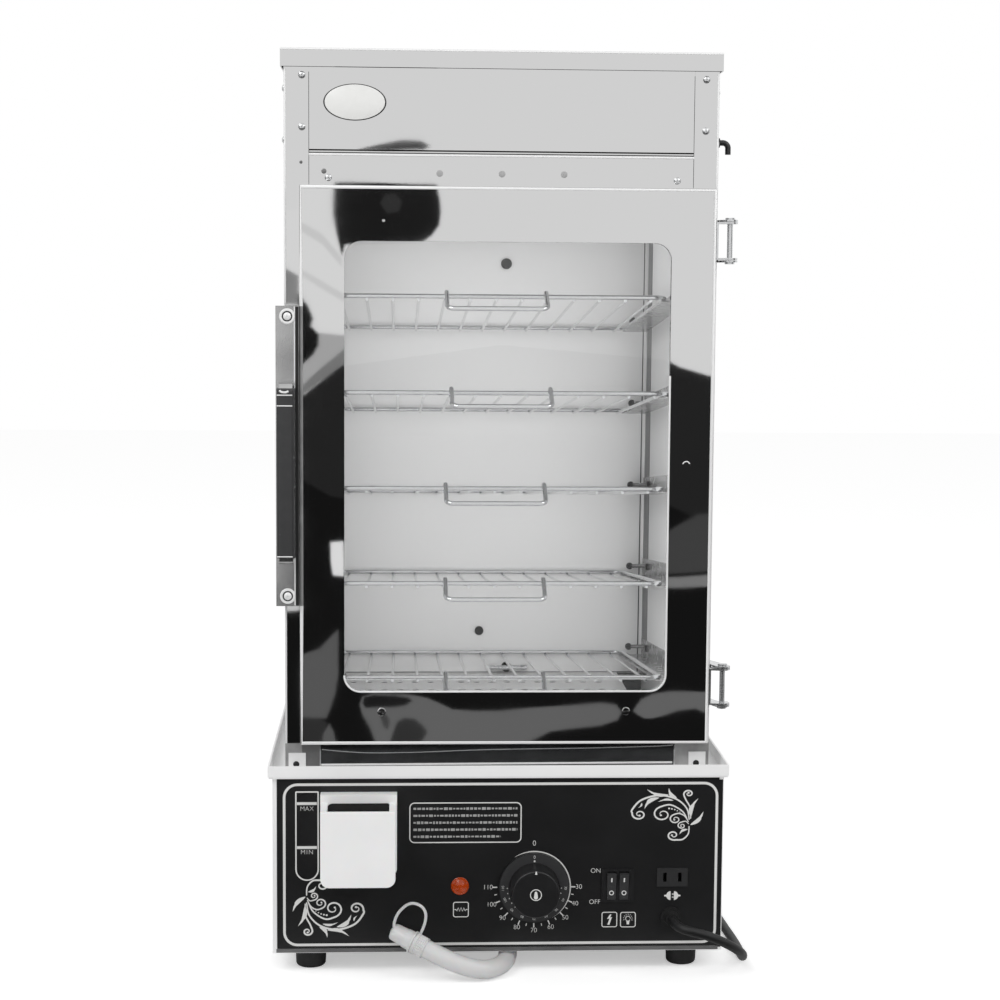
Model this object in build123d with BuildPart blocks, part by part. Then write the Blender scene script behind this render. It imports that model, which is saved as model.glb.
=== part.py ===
from build123d import *
import math
import os

# Table-top electric steamer cabinet, in millimetres.
# Origin at the middle of the footprint on the floor, +X right, +Y to the back, +Z up.

# Overall
base_width = 380.0
base_depth = 390.0
base_height = 150.0
foot_height = 18.0
tray_side_overhang = 3.7
tray_overhang = 4.0
tray_height = 10.8
tray_hem_height = 9.4
cabinet_side_inset = 9.5
cabinet_setback = 27.0
cabinet_rear_inset = 3.0
post_height = 602.4
cap_height = 15.0
cap_overhang = 2.7
hopper_reach = 44.0

# Sheets and gaps
sheet = 0.8
shell_sheet = 1.0
panel_sheet = 1.5
gap = 0.3
overrun = 5.0

# Base shell
shell_edge = 3.5
shell_lip = 8.5
tray_ledge = 14.0
vent_length = 40.0
vent_width = 4.0
vent_pitch = 12.0
vent_count = 5
foot_top_radius = 13.5
foot_radius = 12.7
foot_rounding = 3.0
foot_inset_x = 31.0
foot_inset_y = 26.0

# Control panel fittings: shares of the base width from its middle, and heights from the floor
dial_share = 0.07921
dial_z = 73.5
lamp_share = -0.08579
lamp_z = 74.8
switch_share = 0.26579
switch_z = 74.3
socket_share = 0.38789
socket_z = 81.3
gland_share = 0.38632
gland_z = 46.6
gauge_share = -0.42421
gauge_drop = 12.0
gauge_height = 74.5
gauge_width = 18.0
hopper_share = -0.30974
hopper_drop = 11.9

# Thermostat
shaft_radius = 3.0
shaft_clearance = 0.06
knob_gap = 1.0
skirt_radius = 29.8
skirt_thickness = 2.5
knob_radius = 21.0
knob_taper = 1.0
knob_depth = 24.0
knob_rounding = 1.5
knob_bore_depth = 12.0
stat_width = 42.0
stat_height = 36.0
stat_depth = 30.0
stat_nut_radius = 7.0
stat_nut_depth = 2.0

# Rocker switches
bezel_width = 27.5
bezel_height = 28.4
bezel_proud = 1.2
switch_body_width = 25.5
switch_body_height = 26.4
switch_body_depth = 22.0
rocker_width = 7.7
rocker_height = 22.9
rocker_pitch = 10.6
rocker_proud = 2.6
rocker_dip = 1.0
rocker_depth = 6.0
rocker_tilt = 8.0
rocker_pin_radius = 1.0
rocker_pin_depth = 2.4
rocker_pocket_depth = 12.0
rocker_side_gap = 0.35
rocker_end_gap = 0.9

# Socket, lamp and gland
socket_width = 24.6
socket_height = 14.3
socket_depth = 14.0
socket_proud = 0.8
slot_pitch = 12.7
slot_width = 3.0
slot_height = 8.0
slot_depth = 11.0
lens_radius = 7.3
lens_proud = 2.6
lens_rim_radius = 8.0
lens_rim_proud = 0.6
lens_body_radius = 5.0
lens_body_depth = 22.0
gland_flange_radius = 9.0
gland_flange_proud = 3.0
gland_neck_radius = 5.6
gland_reach = 10.0
gland_body_radius = 6.5
gland_body_depth = 10.0

# Water tank and what is in it
tank_side_inset = 40.0
tank_setback = 75.0
tank_rear_inset = 45.0
tank_height = 92.0
tank_lip = 8.0
steam_opening_inset = 10.0
element_x = 20.0
element_bend = 40.0
element_radius = 4.0
element_lift = 18.0
element_end_gap = 40.0
element_flange_width = 106.0
element_flange_height = 26.0
element_flange_thickness = 3.0
element_terminal_length = 16.0
float_side_inset = 35.0
float_front_inset = 140.0
float_stem_radius = 3.0
float_stem_height = 72.0
float_stop_radius = 5.5
float_stop_height = 2.0
float_stop_lift = 28.0
float_radius = 14.0
float_height = 20.0
float_travel = 15.0
float_bore_gap = 0.5
drain_x = 9.9
drain_front_inset = 20.0
drain_pipe_radius = 5.0
drain_bend_radius = 12.0
drain_collar_length = 8.0
hose_radius = 7.9
hose_z = 8.4
hose_start_setback = 36.0

# Filler hopper
hopper_width = 61.6
hopper_back_width = 63.8
hopper_back_depth = 12.0
hopper_height = 70.0
hopper_mouth_drop = 6.6
hopper_rounding = 7.5
hopper_side_wall = 5.2
hopper_front_wall = 3.0
hopper_floor = 4.0
hopper_inner_rounding = 4.0
spout_radius = 10.0
spout_bore_radius = 7.5
spout_lift = 30.0

# Level window
window_plate_thickness = 2.5
window_plate_margin = 3.0
window_recess = 0.2

# Cabinet frame
post_face = 20.5
post_sheet = 1.0
foot_plate_width = 30.1
foot_plate_height = 22.7
foot_plate_thickness = 0.8
side_wall = 17.5
back_wall = 11.0
ceiling_drop = 119.2
header_height = 37.0
fascia_seam = 1.2
fascia_tuck = 14.0
sill_height = 30.2
ledge_depth = 10.0
steam_plate_lift = 19.9
steam_hole_radius = 3.75
steam_hole_pitch_x = 15.2
steam_hole_pitch_y = 40.5
steam_margin_x = 30.0
steam_margin_y = 30.0
steam_plate_inset = 25.4
header_hole_radius = 2.25
header_hole_pitch = 51.7
header_hole_lift = 19.2
screw_head_radius = 3.0
screw_head_height = 1.8
screw_inset = 13.0
screw_drops = [20.8, 63.0]
side_screw_setback = 10.0
side_screw_step = 10.0
header_screw_inset = 35.5
header_screw_lift = 15.0
clip_width = 14.6
clip_height = 15.0
clip_reach = 14.0
clip_sheet = 1.2
clip_hole_radius = 2.6
side_clip_reach = 9.0

# Lamp in the ceiling
lamp_setback = 120.0
lamp_opening_radius = 32.0
lamp_lens_radius = 38.0
lamp_lens_thickness = 3.0
lamp_cup_radius = 36.0
lamp_cup_height = 46.0
lamp_bulb_radius = 14.0
lamp_bulb_length = 24.0

# Fittings on the back wall
stud_x = 22.0
stud_drop = 49.0
stud_radius = 5.4
stud_reach = 3.0
low_stud_x = -3.2
low_stud_lift = 44.0
low_stud_radius = 4.4
grommet_x = 24.6
grommet_lift = 6.7
grommet_radius = 5.0
bulb_radius = 2.2
bulb_length = 42.0
bulb_gap = 6.0
capillary_radius = 1.0
capillary_bend = 20.0
capillary_z = 60.0
capillary_side_inset = 22.0

# Elbow outlet on the right side
elbow_setback = 58.0
elbow_drop_from_top = 70.2
elbow_flange_radius = 8.0
elbow_flange_thickness = 3.6
elbow_block_radius = 4.0
elbow_block_length = 5.5
elbow_tube_radius = 2.4
elbow_bend = 4.5
elbow_drop = 5.3

# Shelves
shelf_count = 5
shelf_lift = 53.3
shelf_tilt = 5.7
shelf_setback = 62.0
shelf_side_gap = 18.5
shelf_rear_gap = 4.0
shelf_corner = 9.0
frame_wire_radius = 2.0
cross_wire_radius = 1.25
cross_wire_pitch = 22.0
weld_bite = 0.4
pull_width = 84.6
pull_reach = 27.0
pull_drop = 12.8
pull_bend = 6.0
pull_hook = 5.5
shelf_shifts = [-2.4, 2.0, -2.6, -2.6, -2.0]
shelf_slack = 3.0

# Shelf rails
rail_leg = 24.0
rail_web = 14.0
rail_sheet = 1.0
knob_head_radius = 3.4
knob_head_length = 4.4
knob_tip_radius = 2.6
knob_seat = 1.4
knob_stem_radius = 1.8
knob_lift = 6.6
knob_rear_inset = 14.0
rail_screw_inset = 34.0
rail_screw_radius = 3.3
rail_screw_height = 2.4

# Door
door_left_inset = 13.0
door_right_inset = 2.2
door_lift = 23.9
door_drop = 110.9
door_front_setback = 16.0
door_thickness = 9.0
door_edge_radius = 1.0
window_side_margin = 37.1
window_end_margin = 45.3
window_radius = 14.0
glass_thickness = 4.0
glass_margin = 10.0
gasket_width = 2.0
gasket_grip = 4.0
seal_width = 8.0
seal_thickness = 1.7
seal_inset = 1.5

# Hinges
pin_side_reach = 9.8
pin_setback = 21.0
pin_radius = 2.35
pin_clearance = 0.08
pin_head_radius = 4.0
pin_head_height = 1.6
lug_sheet = 1.5
lug_radius = 6.5
lug_gap = 0.4
hinge_height = 35.0
upper_hinge_drop = 42.9
lower_hinge_lift = 48.9
bracket_length = 24.0
bracket_start = 8.0
door_lug_depth = 8.4

# Handle
channel_width = 19.2
channel_lift = 119.2
channel_drop = 99.0
channel_sheet = 1.2
channel_proud = 7.0
strap_width = 11.0
strap_thickness = 3.0
strap_lift = 38.1
strap_drop = 62.3
strap_reach = 26.0
strap_rounding = 6.0
grip_lift = 5.5
grip_drop = 4.4
grip_width = 15.0
grip_depth = 10.0
grip_rounding = 2.5
grip_wrap_gap = 0.05
washer_radius = 6.5
washer_height = 1.2
handle_screw_radius = 3.6
handle_screw_height = 2.2
handle_screw_drop = 8.6
handle_screw_lift = 8.5

# Cords
cord_radius = 4.0
coil_radius = 50.0
coil_gap = 0.6
coil_centre = (160.0, 277.0)
cord_lift = 0.2
tail_length = 46.0
arc_share = 0.45
sleeve_radius = 9.3
sleeve_length = 11.0
sleeve_rib_pitch = 2.75
sleeve_rib_depth = 0.7
cap_radius = 8.6
cap_length = 20.0
cap_rounding = 2.0
cap_nipple_radius = 3.4
cap_nipple_length = 3.0
tether_radius = 1.0
tether_loop = 10.5
tether_bend = 4.5
plug_width = 26.0
plug_height = 22.0
plug_length = 34.0
plug_rounding = 5.0
plug_boot_length = 16.0
plug_boot_radius = 6.0
blade_width = 6.3
blade_thickness = 1.6
blade_length = 17.0

# Places worked out from the sizes above
total_depth = hopper_reach + base_depth + tray_overhang
panel_y = hopper_reach - total_depth / 2
base_back = panel_y + base_depth
base_top = foot_height + base_height
tray_front = panel_y - tray_overhang
tray_back = base_back + tray_overhang
tray_floor = base_top + sheet
tray_top = base_top + tray_height
half_base = base_width / 2
half_tray = half_base + tray_side_overhang
half_cabinet = half_base - cabinet_side_inset
half_inside = half_cabinet - side_wall
post_inner = half_cabinet - post_face
cabinet_y = panel_y + cabinet_setback
cabinet_back = base_back - cabinet_rear_inset
inside_back = cabinet_back - back_wall
post_top = tray_floor + post_height
cap_top = post_top + shell_sheet
cap_bottom = cap_top - cap_height
tank_front = panel_y + tank_setback
tank_back = base_back - tank_rear_inset
half_tank = half_base - tank_side_inset
tank_bottom = base_top - tank_height
slope = math.radians(shelf_tilt)
cavity_y = inside_back + sheet + (back_wall - sheet - sheet - post_sheet) / 2
door_y = panel_y + door_front_setback
door_back = door_y + door_thickness
dial_x = base_width * dial_share
lamp_x = base_width * lamp_share
switch_x = base_width * switch_share
socket_x = base_width * socket_share
gland_x = base_width * gland_share
gauge_x = base_width * gauge_share
gauge_top = base_top - gauge_drop
hopper_x = base_width * hopper_share
hopper_top = base_top - hopper_drop
element_z = tank_bottom + element_lift
float_x = half_tank - float_side_inset
float_stop_z = tank_bottom + float_stop_lift
spout_z = tank_bottom + spout_lift
ceiling_z = post_top - ceiling_drop
header_bottom = ceiling_z
header_top = header_bottom + header_height
sill_top = tray_floor + sill_height
steam_plate_z = tray_floor + steam_plate_lift
stud_z = ceiling_z - stud_drop
low_stud_z = steam_plate_z + low_stud_lift
grommet_z = steam_plate_z + grommet_lift
capillary_x = half_base - capillary_side_inset
elbow_z = post_top - elbow_drop_from_top
shelf_pitch = (ceiling_z - steam_plate_z - shelf_lift) / shelf_count
shelf_top_z = ceiling_z - shelf_pitch
shelf_width = 2 * (half_inside - shelf_side_gap)
shelf_depth = inside_back - shelf_rear_gap - panel_y - shelf_setback
door_left = -half_cabinet + door_left_inset
door_right = half_cabinet - door_right_inset
door_bottom = tray_floor + door_lift
door_top = post_top - door_drop
window_left = door_left + window_side_margin
window_right = door_right - window_side_margin
window_bottom = door_bottom + window_end_margin
window_top = door_top - window_end_margin
pin_x = half_cabinet + pin_side_reach
upper_hinge_z = door_top - upper_hinge_drop
lower_hinge_z = door_bottom + lower_hinge_lift
channel_bottom = door_bottom + channel_lift
channel_top = door_top - channel_drop
strap_bottom = channel_bottom + strap_lift
strap_top = channel_top - strap_drop
grip_bottom = strap_bottom + grip_lift
grip_top = strap_top - grip_drop
handle_screw_top = channel_top - handle_screw_drop
handle_screw_bottom = channel_bottom + handle_screw_lift


def slab(x, y, z, mode=Mode.ADD):
    """Box between two limits along each axis."""
    with Locations(((x[0] + x[1]) / 2, (y[0] + y[1]) / 2, (z[0] + z[1]) / 2)):
        Box(x[1] - x[0], y[1] - y[0], z[1] - z[0], mode=mode)


def rod(place, radius, length, direction, mode=Mode.ADD):
    """Cylinder that starts at a place and runs along a direction."""
    with BuildSketch(Plane(origin=place, z_dir=direction)) as disc:
        Circle(radius)
    extrude(disc.sketch, amount=length, mode=mode)


def ring(place, radius, bore, length, direction):
    """Washer that starts at a place and runs along a direction."""
    with BuildSketch(Plane(origin=place, z_dir=direction)) as disc:
        Circle(radius)
        Circle(bore, mode=Mode.SUBTRACT)
    extrude(disc.sketch, amount=length)


def save(builder, name):
    builder.part.label = name
    export_step(builder.part, "parts/" + name + ".step")
    print(name, "solids", len(builder.part.solids()), "volume", round(builder.part.volume, 1))


os.makedirs("parts", exist_ok=True)

# Base shell: three walls, the edges that frame the panel, and ledges above and below
with BuildPart() as base_shell:
    slab((-half_base, half_base), (panel_y, base_back), (foot_height, base_top))
    slab((-half_base + shell_sheet, half_base - shell_sheet),
         (panel_y + panel_sheet + shell_sheet, base_back - shell_sheet),
         (foot_height + shell_sheet, base_top - shell_sheet), Mode.SUBTRACT)
    slab((-half_base + shell_edge, half_base - shell_edge),
         (panel_y - overrun, panel_y + panel_sheet), (foot_height + shell_edge, base_top + overrun),
         Mode.SUBTRACT)
    slab((-half_base + shell_lip, half_base - shell_lip),
         (panel_y, panel_y + panel_sheet + shell_lip),
         (foot_height + shell_lip, base_top - shell_lip), Mode.SUBTRACT)
    slab((-half_base + tray_ledge, half_base - tray_ledge), (panel_y + tray_ledge, base_back - tray_ledge),
         (base_top - overrun, base_top + overrun), Mode.SUBTRACT)
    slab((-half_base + shell_lip, half_base - shell_lip), (panel_y + shell_lip, base_back - shell_lip),
         (foot_height - overrun, foot_height + overrun), Mode.SUBTRACT)
    rod((grommet_x, cavity_y, base_top - overrun), capillary_radius + gap, 2 * overrun, (0, 0, 1), Mode.SUBTRACT)
save(base_shell, "base_shell")

# Bottom plate on the shell's lower ledge, with vents and the drain's hole
plate_z = foot_height + shell_sheet
with BuildPart() as bottom_plate:
    slab((-half_base + shell_sheet + gap, half_base - shell_sheet - gap),
         (panel_y + panel_sheet + shell_sheet + gap, base_back - shell_sheet - gap),
         (plate_z, plate_z + shell_sheet))
    rod((drain_x, tank_front + drain_front_inset, plate_z - overrun), drain_pipe_radius + gap, 2 * overrun, (0, 0, 1),
        Mode.SUBTRACT)
    with BuildSketch(Plane.XY.offset(plate_z)):
        with Locations((half_base / 2, base_back - tank_setback), (-half_base / 2, base_back - tank_setback)):
            with GridLocations(0, vent_pitch, 1, vent_count):
                SlotOverall(vent_length, vent_width)
    extrude(amount=2 * overrun, mode=Mode.SUBTRACT)
save(bottom_plate, "bottom_plate")

# Four rubber feet
foot_x = half_base - foot_inset_x
foot_front = panel_y + foot_inset_y
foot_back = base_back - foot_inset_y
with BuildPart() as feet:
    for x in (-foot_x, foot_x):
        for y in (foot_front, foot_back):
            with BuildSketch(Plane(origin=(x, y, 0), x_dir=(1, 0, 0), z_dir=(0, -1, 0))):
                with BuildLine():
                    Polyline((0, 0), (foot_radius - foot_rounding, 0))
                    RadiusArc((foot_radius - foot_rounding, 0), (foot_radius, foot_rounding), -foot_rounding)
                    Polyline((foot_radius, foot_rounding), (foot_top_radius, plate_z), (0, plate_z),
                             (0, 0))
                make_face()
            revolve(axis=Axis((x, y, 0), (0, 0, 1)))
save(feet, "feet")

# Control panel with its cut-outs
panel_left = -half_base + shell_edge + gap
panel_bottom = foot_height + shell_edge + gap
panel_top = base_top - gap
with BuildPart() as control_panel:
    with BuildSketch(Plane(origin=(0, panel_y + panel_sheet, 0), x_dir=(1, 0, 0), z_dir=(0, -1, 0))):
        with Locations((0, (panel_bottom + panel_top) / 2)):
            Rectangle(-2 * panel_left, panel_top - panel_bottom)
        with Locations((dial_x, dial_z)):
            Circle(stat_nut_radius + gap, mode=Mode.SUBTRACT)
        with Locations((lamp_x, lamp_z)):
            Circle(lens_body_radius + gap, mode=Mode.SUBTRACT)
        with Locations((switch_x, switch_z)):
            Rectangle(switch_body_width + 2 * gap, switch_body_height + 2 * gap, mode=Mode.SUBTRACT)
        with Locations((socket_x, socket_z)):
            Rectangle(socket_width + 2 * gap, socket_height + 2 * gap, mode=Mode.SUBTRACT)
        with Locations((gland_x, gland_z)):
            Circle(gland_body_radius + gap, mode=Mode.SUBTRACT)
        with Locations((hopper_x, spout_z)):
            Circle(spout_radius + gap, mode=Mode.SUBTRACT)
        with Locations((gauge_x, gauge_top - gauge_height / 2)):
            SlotOverall(gauge_height, gauge_width, rotation=90, mode=Mode.SUBTRACT)
    extrude(amount=panel_sheet)
save(control_panel, "control_panel")

# Level window: a dark clear plate behind the panel that fills the slot
window_y = panel_y + panel_sheet
with BuildPart() as level_window:
    slab((gauge_x - gauge_width / 2 - window_plate_margin, gauge_x + gauge_width / 2 + window_plate_margin),
         (window_y, window_y + window_plate_thickness),
         (gauge_top - gauge_height - window_plate_margin, gauge_top + window_plate_margin))
    with BuildSketch(Plane(origin=(0, window_y, 0), x_dir=(1, 0, 0), z_dir=(0, -1, 0))):
        with Locations((gauge_x, gauge_top - gauge_height / 2)):
            SlotOverall(gauge_height - 2 * gap, gauge_width - 2 * gap, rotation=90)
    extrude(amount=panel_sheet - window_recess)
save(level_window, "level_window")

# Filler hopper: a back block with a bin in front of it, open at the top, and a spout into the tank
hopper_bottom = hopper_top - hopper_height
hopper_mouth = hopper_top - hopper_mouth_drop
hopper_front = panel_y - hopper_reach
bin_back = panel_y - hopper_back_depth


def rounded_front(width, bottom, top, radius):
    """Upright outline with its two lower corners rounded, in the plane of the panel."""
    with BuildLine() as outline:
        left = hopper_x - width / 2
        right = hopper_x + width / 2
        Polyline((right, bottom + radius), (right, top), (left, top), (left, bottom + radius))
        RadiusArc((left, bottom + radius), (left + radius, bottom), -radius)
        Line((left + radius, bottom), (right - radius, bottom))
        RadiusArc((right - radius, bottom), (right, bottom + radius), -radius)
    make_face(outline.edges())


with BuildPart() as filler_hopper:
    with BuildSketch(Plane(origin=(0, panel_y, 0), x_dir=(1, 0, 0), z_dir=(0, -1, 0))):
        rounded_front(hopper_back_width, hopper_bottom, hopper_top, hopper_rounding)
    extrude(amount=hopper_back_depth)
    with BuildSketch(Plane(origin=(0, bin_back, 0), x_dir=(1, 0, 0), z_dir=(0, -1, 0))):
        rounded_front(hopper_width, hopper_bottom, hopper_mouth, hopper_rounding)
    extrude(amount=hopper_reach - hopper_back_depth)
    with BuildSketch(Plane(origin=(0, bin_back, 0), x_dir=(1, 0, 0), z_dir=(0, -1, 0))):
        rounded_front(hopper_width - 2 * hopper_side_wall, hopper_bottom + hopper_floor, hopper_mouth + overrun,
                      hopper_inner_rounding)
    extrude(amount=hopper_reach - hopper_back_depth - hopper_front_wall, mode=Mode.SUBTRACT)
    rod((hopper_x, panel_y, spout_z), spout_radius, tank_setback + sheet, (0, 1, 0))
    rod((hopper_x, bin_back - sheet, spout_z), spout_bore_radius,
        hopper_back_depth + tank_setback + overrun, (0, 1, 0), Mode.SUBTRACT)
    front_edges = filler_hopper.edges().filter_by(Plane.XZ).group_by(Axis.Y)[0]
    fillet(front_edges, radius=hopper_front_wall / 4)
save(filler_hopper, "filler_hopper")

# Drip tray: floor, upright rim with a hem, and the opening over the tank
opening_half = half_tank - steam_opening_inset
with BuildPart() as drip_tray:
    slab((-half_tray, half_tray), (tray_front, tray_back), (tray_top - tray_hem_height, tray_top))
    slab((-half_tray + sheet, half_tray - sheet), (tray_front + sheet, tray_back - sheet), (base_top, tray_top))
    slab((-half_tray + 2 * sheet, half_tray - 2 * sheet), (tray_front + 2 * sheet, tray_back - 2 * sheet),
         (tray_floor, tray_top + overrun), Mode.SUBTRACT)
    slab((-opening_half, opening_half), (tank_front + steam_opening_inset, tank_back - steam_opening_inset),
         (base_top - overrun, tray_floor + overrun), Mode.SUBTRACT)
    rod((grommet_x, cavity_y, base_top - overrun), capillary_radius + gap, 2 * overrun, (0, 0, 1), Mode.SUBTRACT)
save(drip_tray, "drip_tray")

# Water tank hung under the tray
with BuildPart() as water_tank:
    slab((-half_tank, half_tank), (tank_front, tank_back), (tank_bottom, base_top))
    slab((-half_tank - tank_lip, half_tank + tank_lip), (tank_front - tank_lip, tank_back + tank_lip),
         (base_top - sheet, base_top))
    slab((-half_tank + sheet, half_tank - sheet), (tank_front + sheet, tank_back - sheet),
         (tank_bottom + sheet, base_top + overrun), Mode.SUBTRACT)
    rod((hopper_x, tank_front - overrun, spout_z), spout_radius + gap, 2 * overrun, (0, 1, 0), Mode.SUBTRACT)
    rod((drain_x, tank_front + drain_front_inset, tank_bottom - overrun), drain_pipe_radius + gap, 2 * overrun,
        (0, 0, 1), Mode.SUBTRACT)
    for side in (-1, 1):
        rod((element_x + side * element_bend, tank_front - overrun, element_z), element_radius + gap,
            2 * overrun, (0, 1, 0), Mode.SUBTRACT)
save(water_tank, "water_tank")

# Heating element: a hairpin through a flange on the tank's front wall, with two terminals
element_bend_y = tank_back - element_end_gap - element_bend
with BuildPart() as heating_element:
    with BuildLine() as hairpin:
        Line((element_x - element_bend, tank_front - element_terminal_length, element_z),
             (element_x - element_bend, element_bend_y, element_z))
        CenterArc((element_x, element_bend_y, element_z), element_bend, 180, -180)
        Line((element_x + element_bend, element_bend_y, element_z),
             (element_x + element_bend, tank_front - element_terminal_length, element_z))
    with BuildSketch(Plane(origin=(element_x - element_bend, tank_front - element_terminal_length, element_z),
                           z_dir=(0, 1, 0))):
        Circle(element_radius)
    sweep(path=hairpin.line)
    slab((element_x - element_flange_width / 2, element_x + element_flange_width / 2),
         (tank_front - element_flange_thickness, tank_front),
         (element_z - element_flange_height / 2, element_z + element_flange_height / 2))
save(heating_element, "heating_element")

# Float switch: a stem with two stops that stands on the tank's floor, and the float on it
float_y = tank_front + float_front_inset
tank_floor = tank_bottom + sheet
upper_stop_z = float_stop_z + float_stop_height + gap + float_height + float_travel + gap
with BuildPart() as float_stem:
    rod((float_x, float_y, tank_floor), float_stem_radius, float_stem_height, (0, 0, 1))
    rod((float_x, float_y, tank_floor), float_stop_radius, float_stop_height, (0, 0, 1))
    rod((float_x, float_y, float_stop_z), float_stop_radius, float_stop_height, (0, 0, 1))
    rod((float_x, float_y, upper_stop_z), float_stop_radius, float_stop_height, (0, 0, 1))
save(float_stem, "float_stem")

with BuildPart() as float_ball:
    ring((float_x, float_y, float_stop_z + float_stop_height + gap), float_radius,
         float_stem_radius + float_bore_gap, float_height, (0, 0, 1))
    fillet(float_ball.edges().filter_by(GeomType.CIRCLE).sort_by(SortBy.RADIUS)[-2:], radius=float_radius / 4)
save(float_ball, "float_ball")

# Drain elbow: down from the tank, forward under the bottom plate, to a collar for the hose
drain_y = tank_front + drain_front_inset
hose_start_y = panel_y + hose_start_setback
with BuildPart() as drain_elbow:
    with BuildLine() as drain_path:
        FilletPolyline((drain_x, drain_y, tank_floor), (drain_x, drain_y, hose_z),
                       (drain_x, hose_start_y + drain_collar_length / 2, hose_z), radius=drain_bend_radius)
    with BuildSketch(Plane(origin=(drain_x, drain_y, tank_floor), z_dir=(0, 0, -1))):
        Circle(drain_pipe_radius)
    sweep(path=drain_path.line)
    rod((drain_x, hose_start_y, hose_z), hose_radius, drain_collar_length, (0, 1, 0))
    rod((drain_x, drain_y, tank_bottom - 2 * sheet), 2 * drain_pipe_radius, 2 * sheet, (0, 0, 1))
save(drain_elbow, "drain_elbow")

# Thermostat: body behind the panel with its nut and shaft, and the dial on the shaft
stat_y = panel_y + panel_sheet
knob_back = panel_y - knob_gap
with BuildPart() as thermostat_body:
    slab((dial_x - stat_width / 2, dial_x + stat_width / 2), (stat_y, stat_y + stat_depth),
         (dial_z - stat_height / 2, dial_z + stat_height / 2))
    rod((dial_x, stat_y, dial_z), stat_nut_radius, panel_sheet, (0, -1, 0))
    rod((dial_x, stat_y, dial_z), shaft_radius, panel_sheet + knob_gap + knob_bore_depth - gap, (0, -1, 0))
save(thermostat_body, "thermostat_body")

with BuildPart() as thermostat_knob:
    rod((dial_x, knob_back, dial_z), skirt_radius, skirt_thickness, (0, -1, 0))
    with BuildSketch(Plane(origin=(dial_x, knob_back - skirt_thickness, dial_z), z_dir=(0, -1, 0))):
        Circle(knob_radius)
    with BuildSketch(Plane(origin=(dial_x, panel_y - knob_depth, dial_z), z_dir=(0, -1, 0))):
        Circle(knob_radius - knob_taper)
    loft()
    fillet(thermostat_knob.edges().group_by(Axis.Y)[0], radius=knob_rounding)
    rod((dial_x, knob_back, dial_z), shaft_radius + shaft_clearance, knob_bore_depth, (0, -1, 0), Mode.SUBTRACT)
save(thermostat_knob, "thermostat_knob")

# Double rocker switch: bezel and body with a pocket and a pin for each rocker
pocket_half = rocker_width / 2 + rocker_side_gap
pin_y = panel_y + rocker_pin_depth
with BuildPart() as switch_housing:
    slab((switch_x - bezel_width / 2, switch_x + bezel_width / 2), (panel_y - bezel_proud, panel_y),
         (switch_z - bezel_height / 2, switch_z + bezel_height / 2))
    slab((switch_x - switch_body_width / 2, switch_x + switch_body_width / 2),
         (panel_y, panel_y + switch_body_depth),
         (switch_z - switch_body_height / 2, switch_z + switch_body_height / 2))
    for side in (-1, 1):
        centre = switch_x + side * rocker_pitch / 2
        slab((centre - pocket_half, centre + pocket_half), (panel_y - overrun, panel_y + rocker_pocket_depth),
             (switch_z - rocker_height / 2 - rocker_end_gap, switch_z + rocker_height / 2 + rocker_end_gap),
             Mode.SUBTRACT)
        rod((centre - pocket_half - gap, pin_y, switch_z), rocker_pin_radius, 2 * (pocket_half + gap), (1, 0, 0))
save(switch_housing, "switch_housing")

# Two rockers, resting with the lower end pressed in
rocker_plane = Plane(origin=(0, pin_y, switch_z), x_dir=(0, 1, 0), z_dir=(1, 0, 0))
rocker_face = -rocker_pin_depth - rocker_proud
for side, name in ((-1, "rocker_power"), (1, "rocker_lamp")):
    centre = switch_x + side * rocker_pitch / 2
    half = rocker_height / 2
    with BuildPart() as upright:
        with BuildSketch(rocker_plane.offset(centre - rocker_width / 2)):
            with BuildLine():
                Polyline((rocker_face, -half), (rocker_face + rocker_dip, 0), (rocker_face, half),
                         (rocker_face + rocker_depth - rocker_dip, half), (rocker_depth - rocker_dip, half / 2),
                         (rocker_depth - rocker_dip, -half / 2), (rocker_face + rocker_depth - rocker_dip, -half),
                         (rocker_face, -half))
            make_face()
            Circle(rocker_pin_radius + pin_clearance, mode=Mode.SUBTRACT)
        extrude(amount=rocker_width)
    with BuildPart() as rocker:
        add(upright.part.rotate(Axis((centre, pin_y, switch_z), (1, 0, 0)), rocker_tilt))
    save(rocker, name)

# Two-pin socket outlet
with BuildPart() as socket_outlet:
    slab((socket_x - socket_width / 2, socket_x + socket_width / 2),
         (panel_y - socket_proud, panel_y + socket_depth),
         (socket_z - socket_height / 2, socket_z + socket_height / 2))
    slab((socket_x - socket_width / 2 - sheet, socket_x + socket_width / 2 + sheet),
         (panel_y - socket_proud, panel_y), (socket_z - socket_height / 2 - sheet, socket_z + socket_height / 2 + sheet))
    for side in (-1, 1):
        slot_x = socket_x + side * slot_pitch / 2
        slab((slot_x - slot_width / 2, slot_x + slot_width / 2), (panel_y - overrun, panel_y + slot_depth),
             (socket_z - slot_height / 2, socket_z + slot_height / 2), Mode.SUBTRACT)
save(socket_outlet, "socket_outlet")

# Indicator lamp: rim, domed lens and body in one piece
with BuildPart() as indicator_lamp:
    rod((lamp_x, panel_y, lamp_z), lens_rim_radius, lens_rim_proud, (0, -1, 0))
    rod((lamp_x, panel_y, lamp_z), lens_radius, lens_proud, (0, -1, 0))
    fillet(indicator_lamp.edges().group_by(Axis.Y)[0], radius=lens_proud / 2)
    rod((lamp_x, panel_y, lamp_z), lens_body_radius, lens_body_depth, (0, 1, 0))
save(indicator_lamp, "indicator_lamp")

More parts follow.
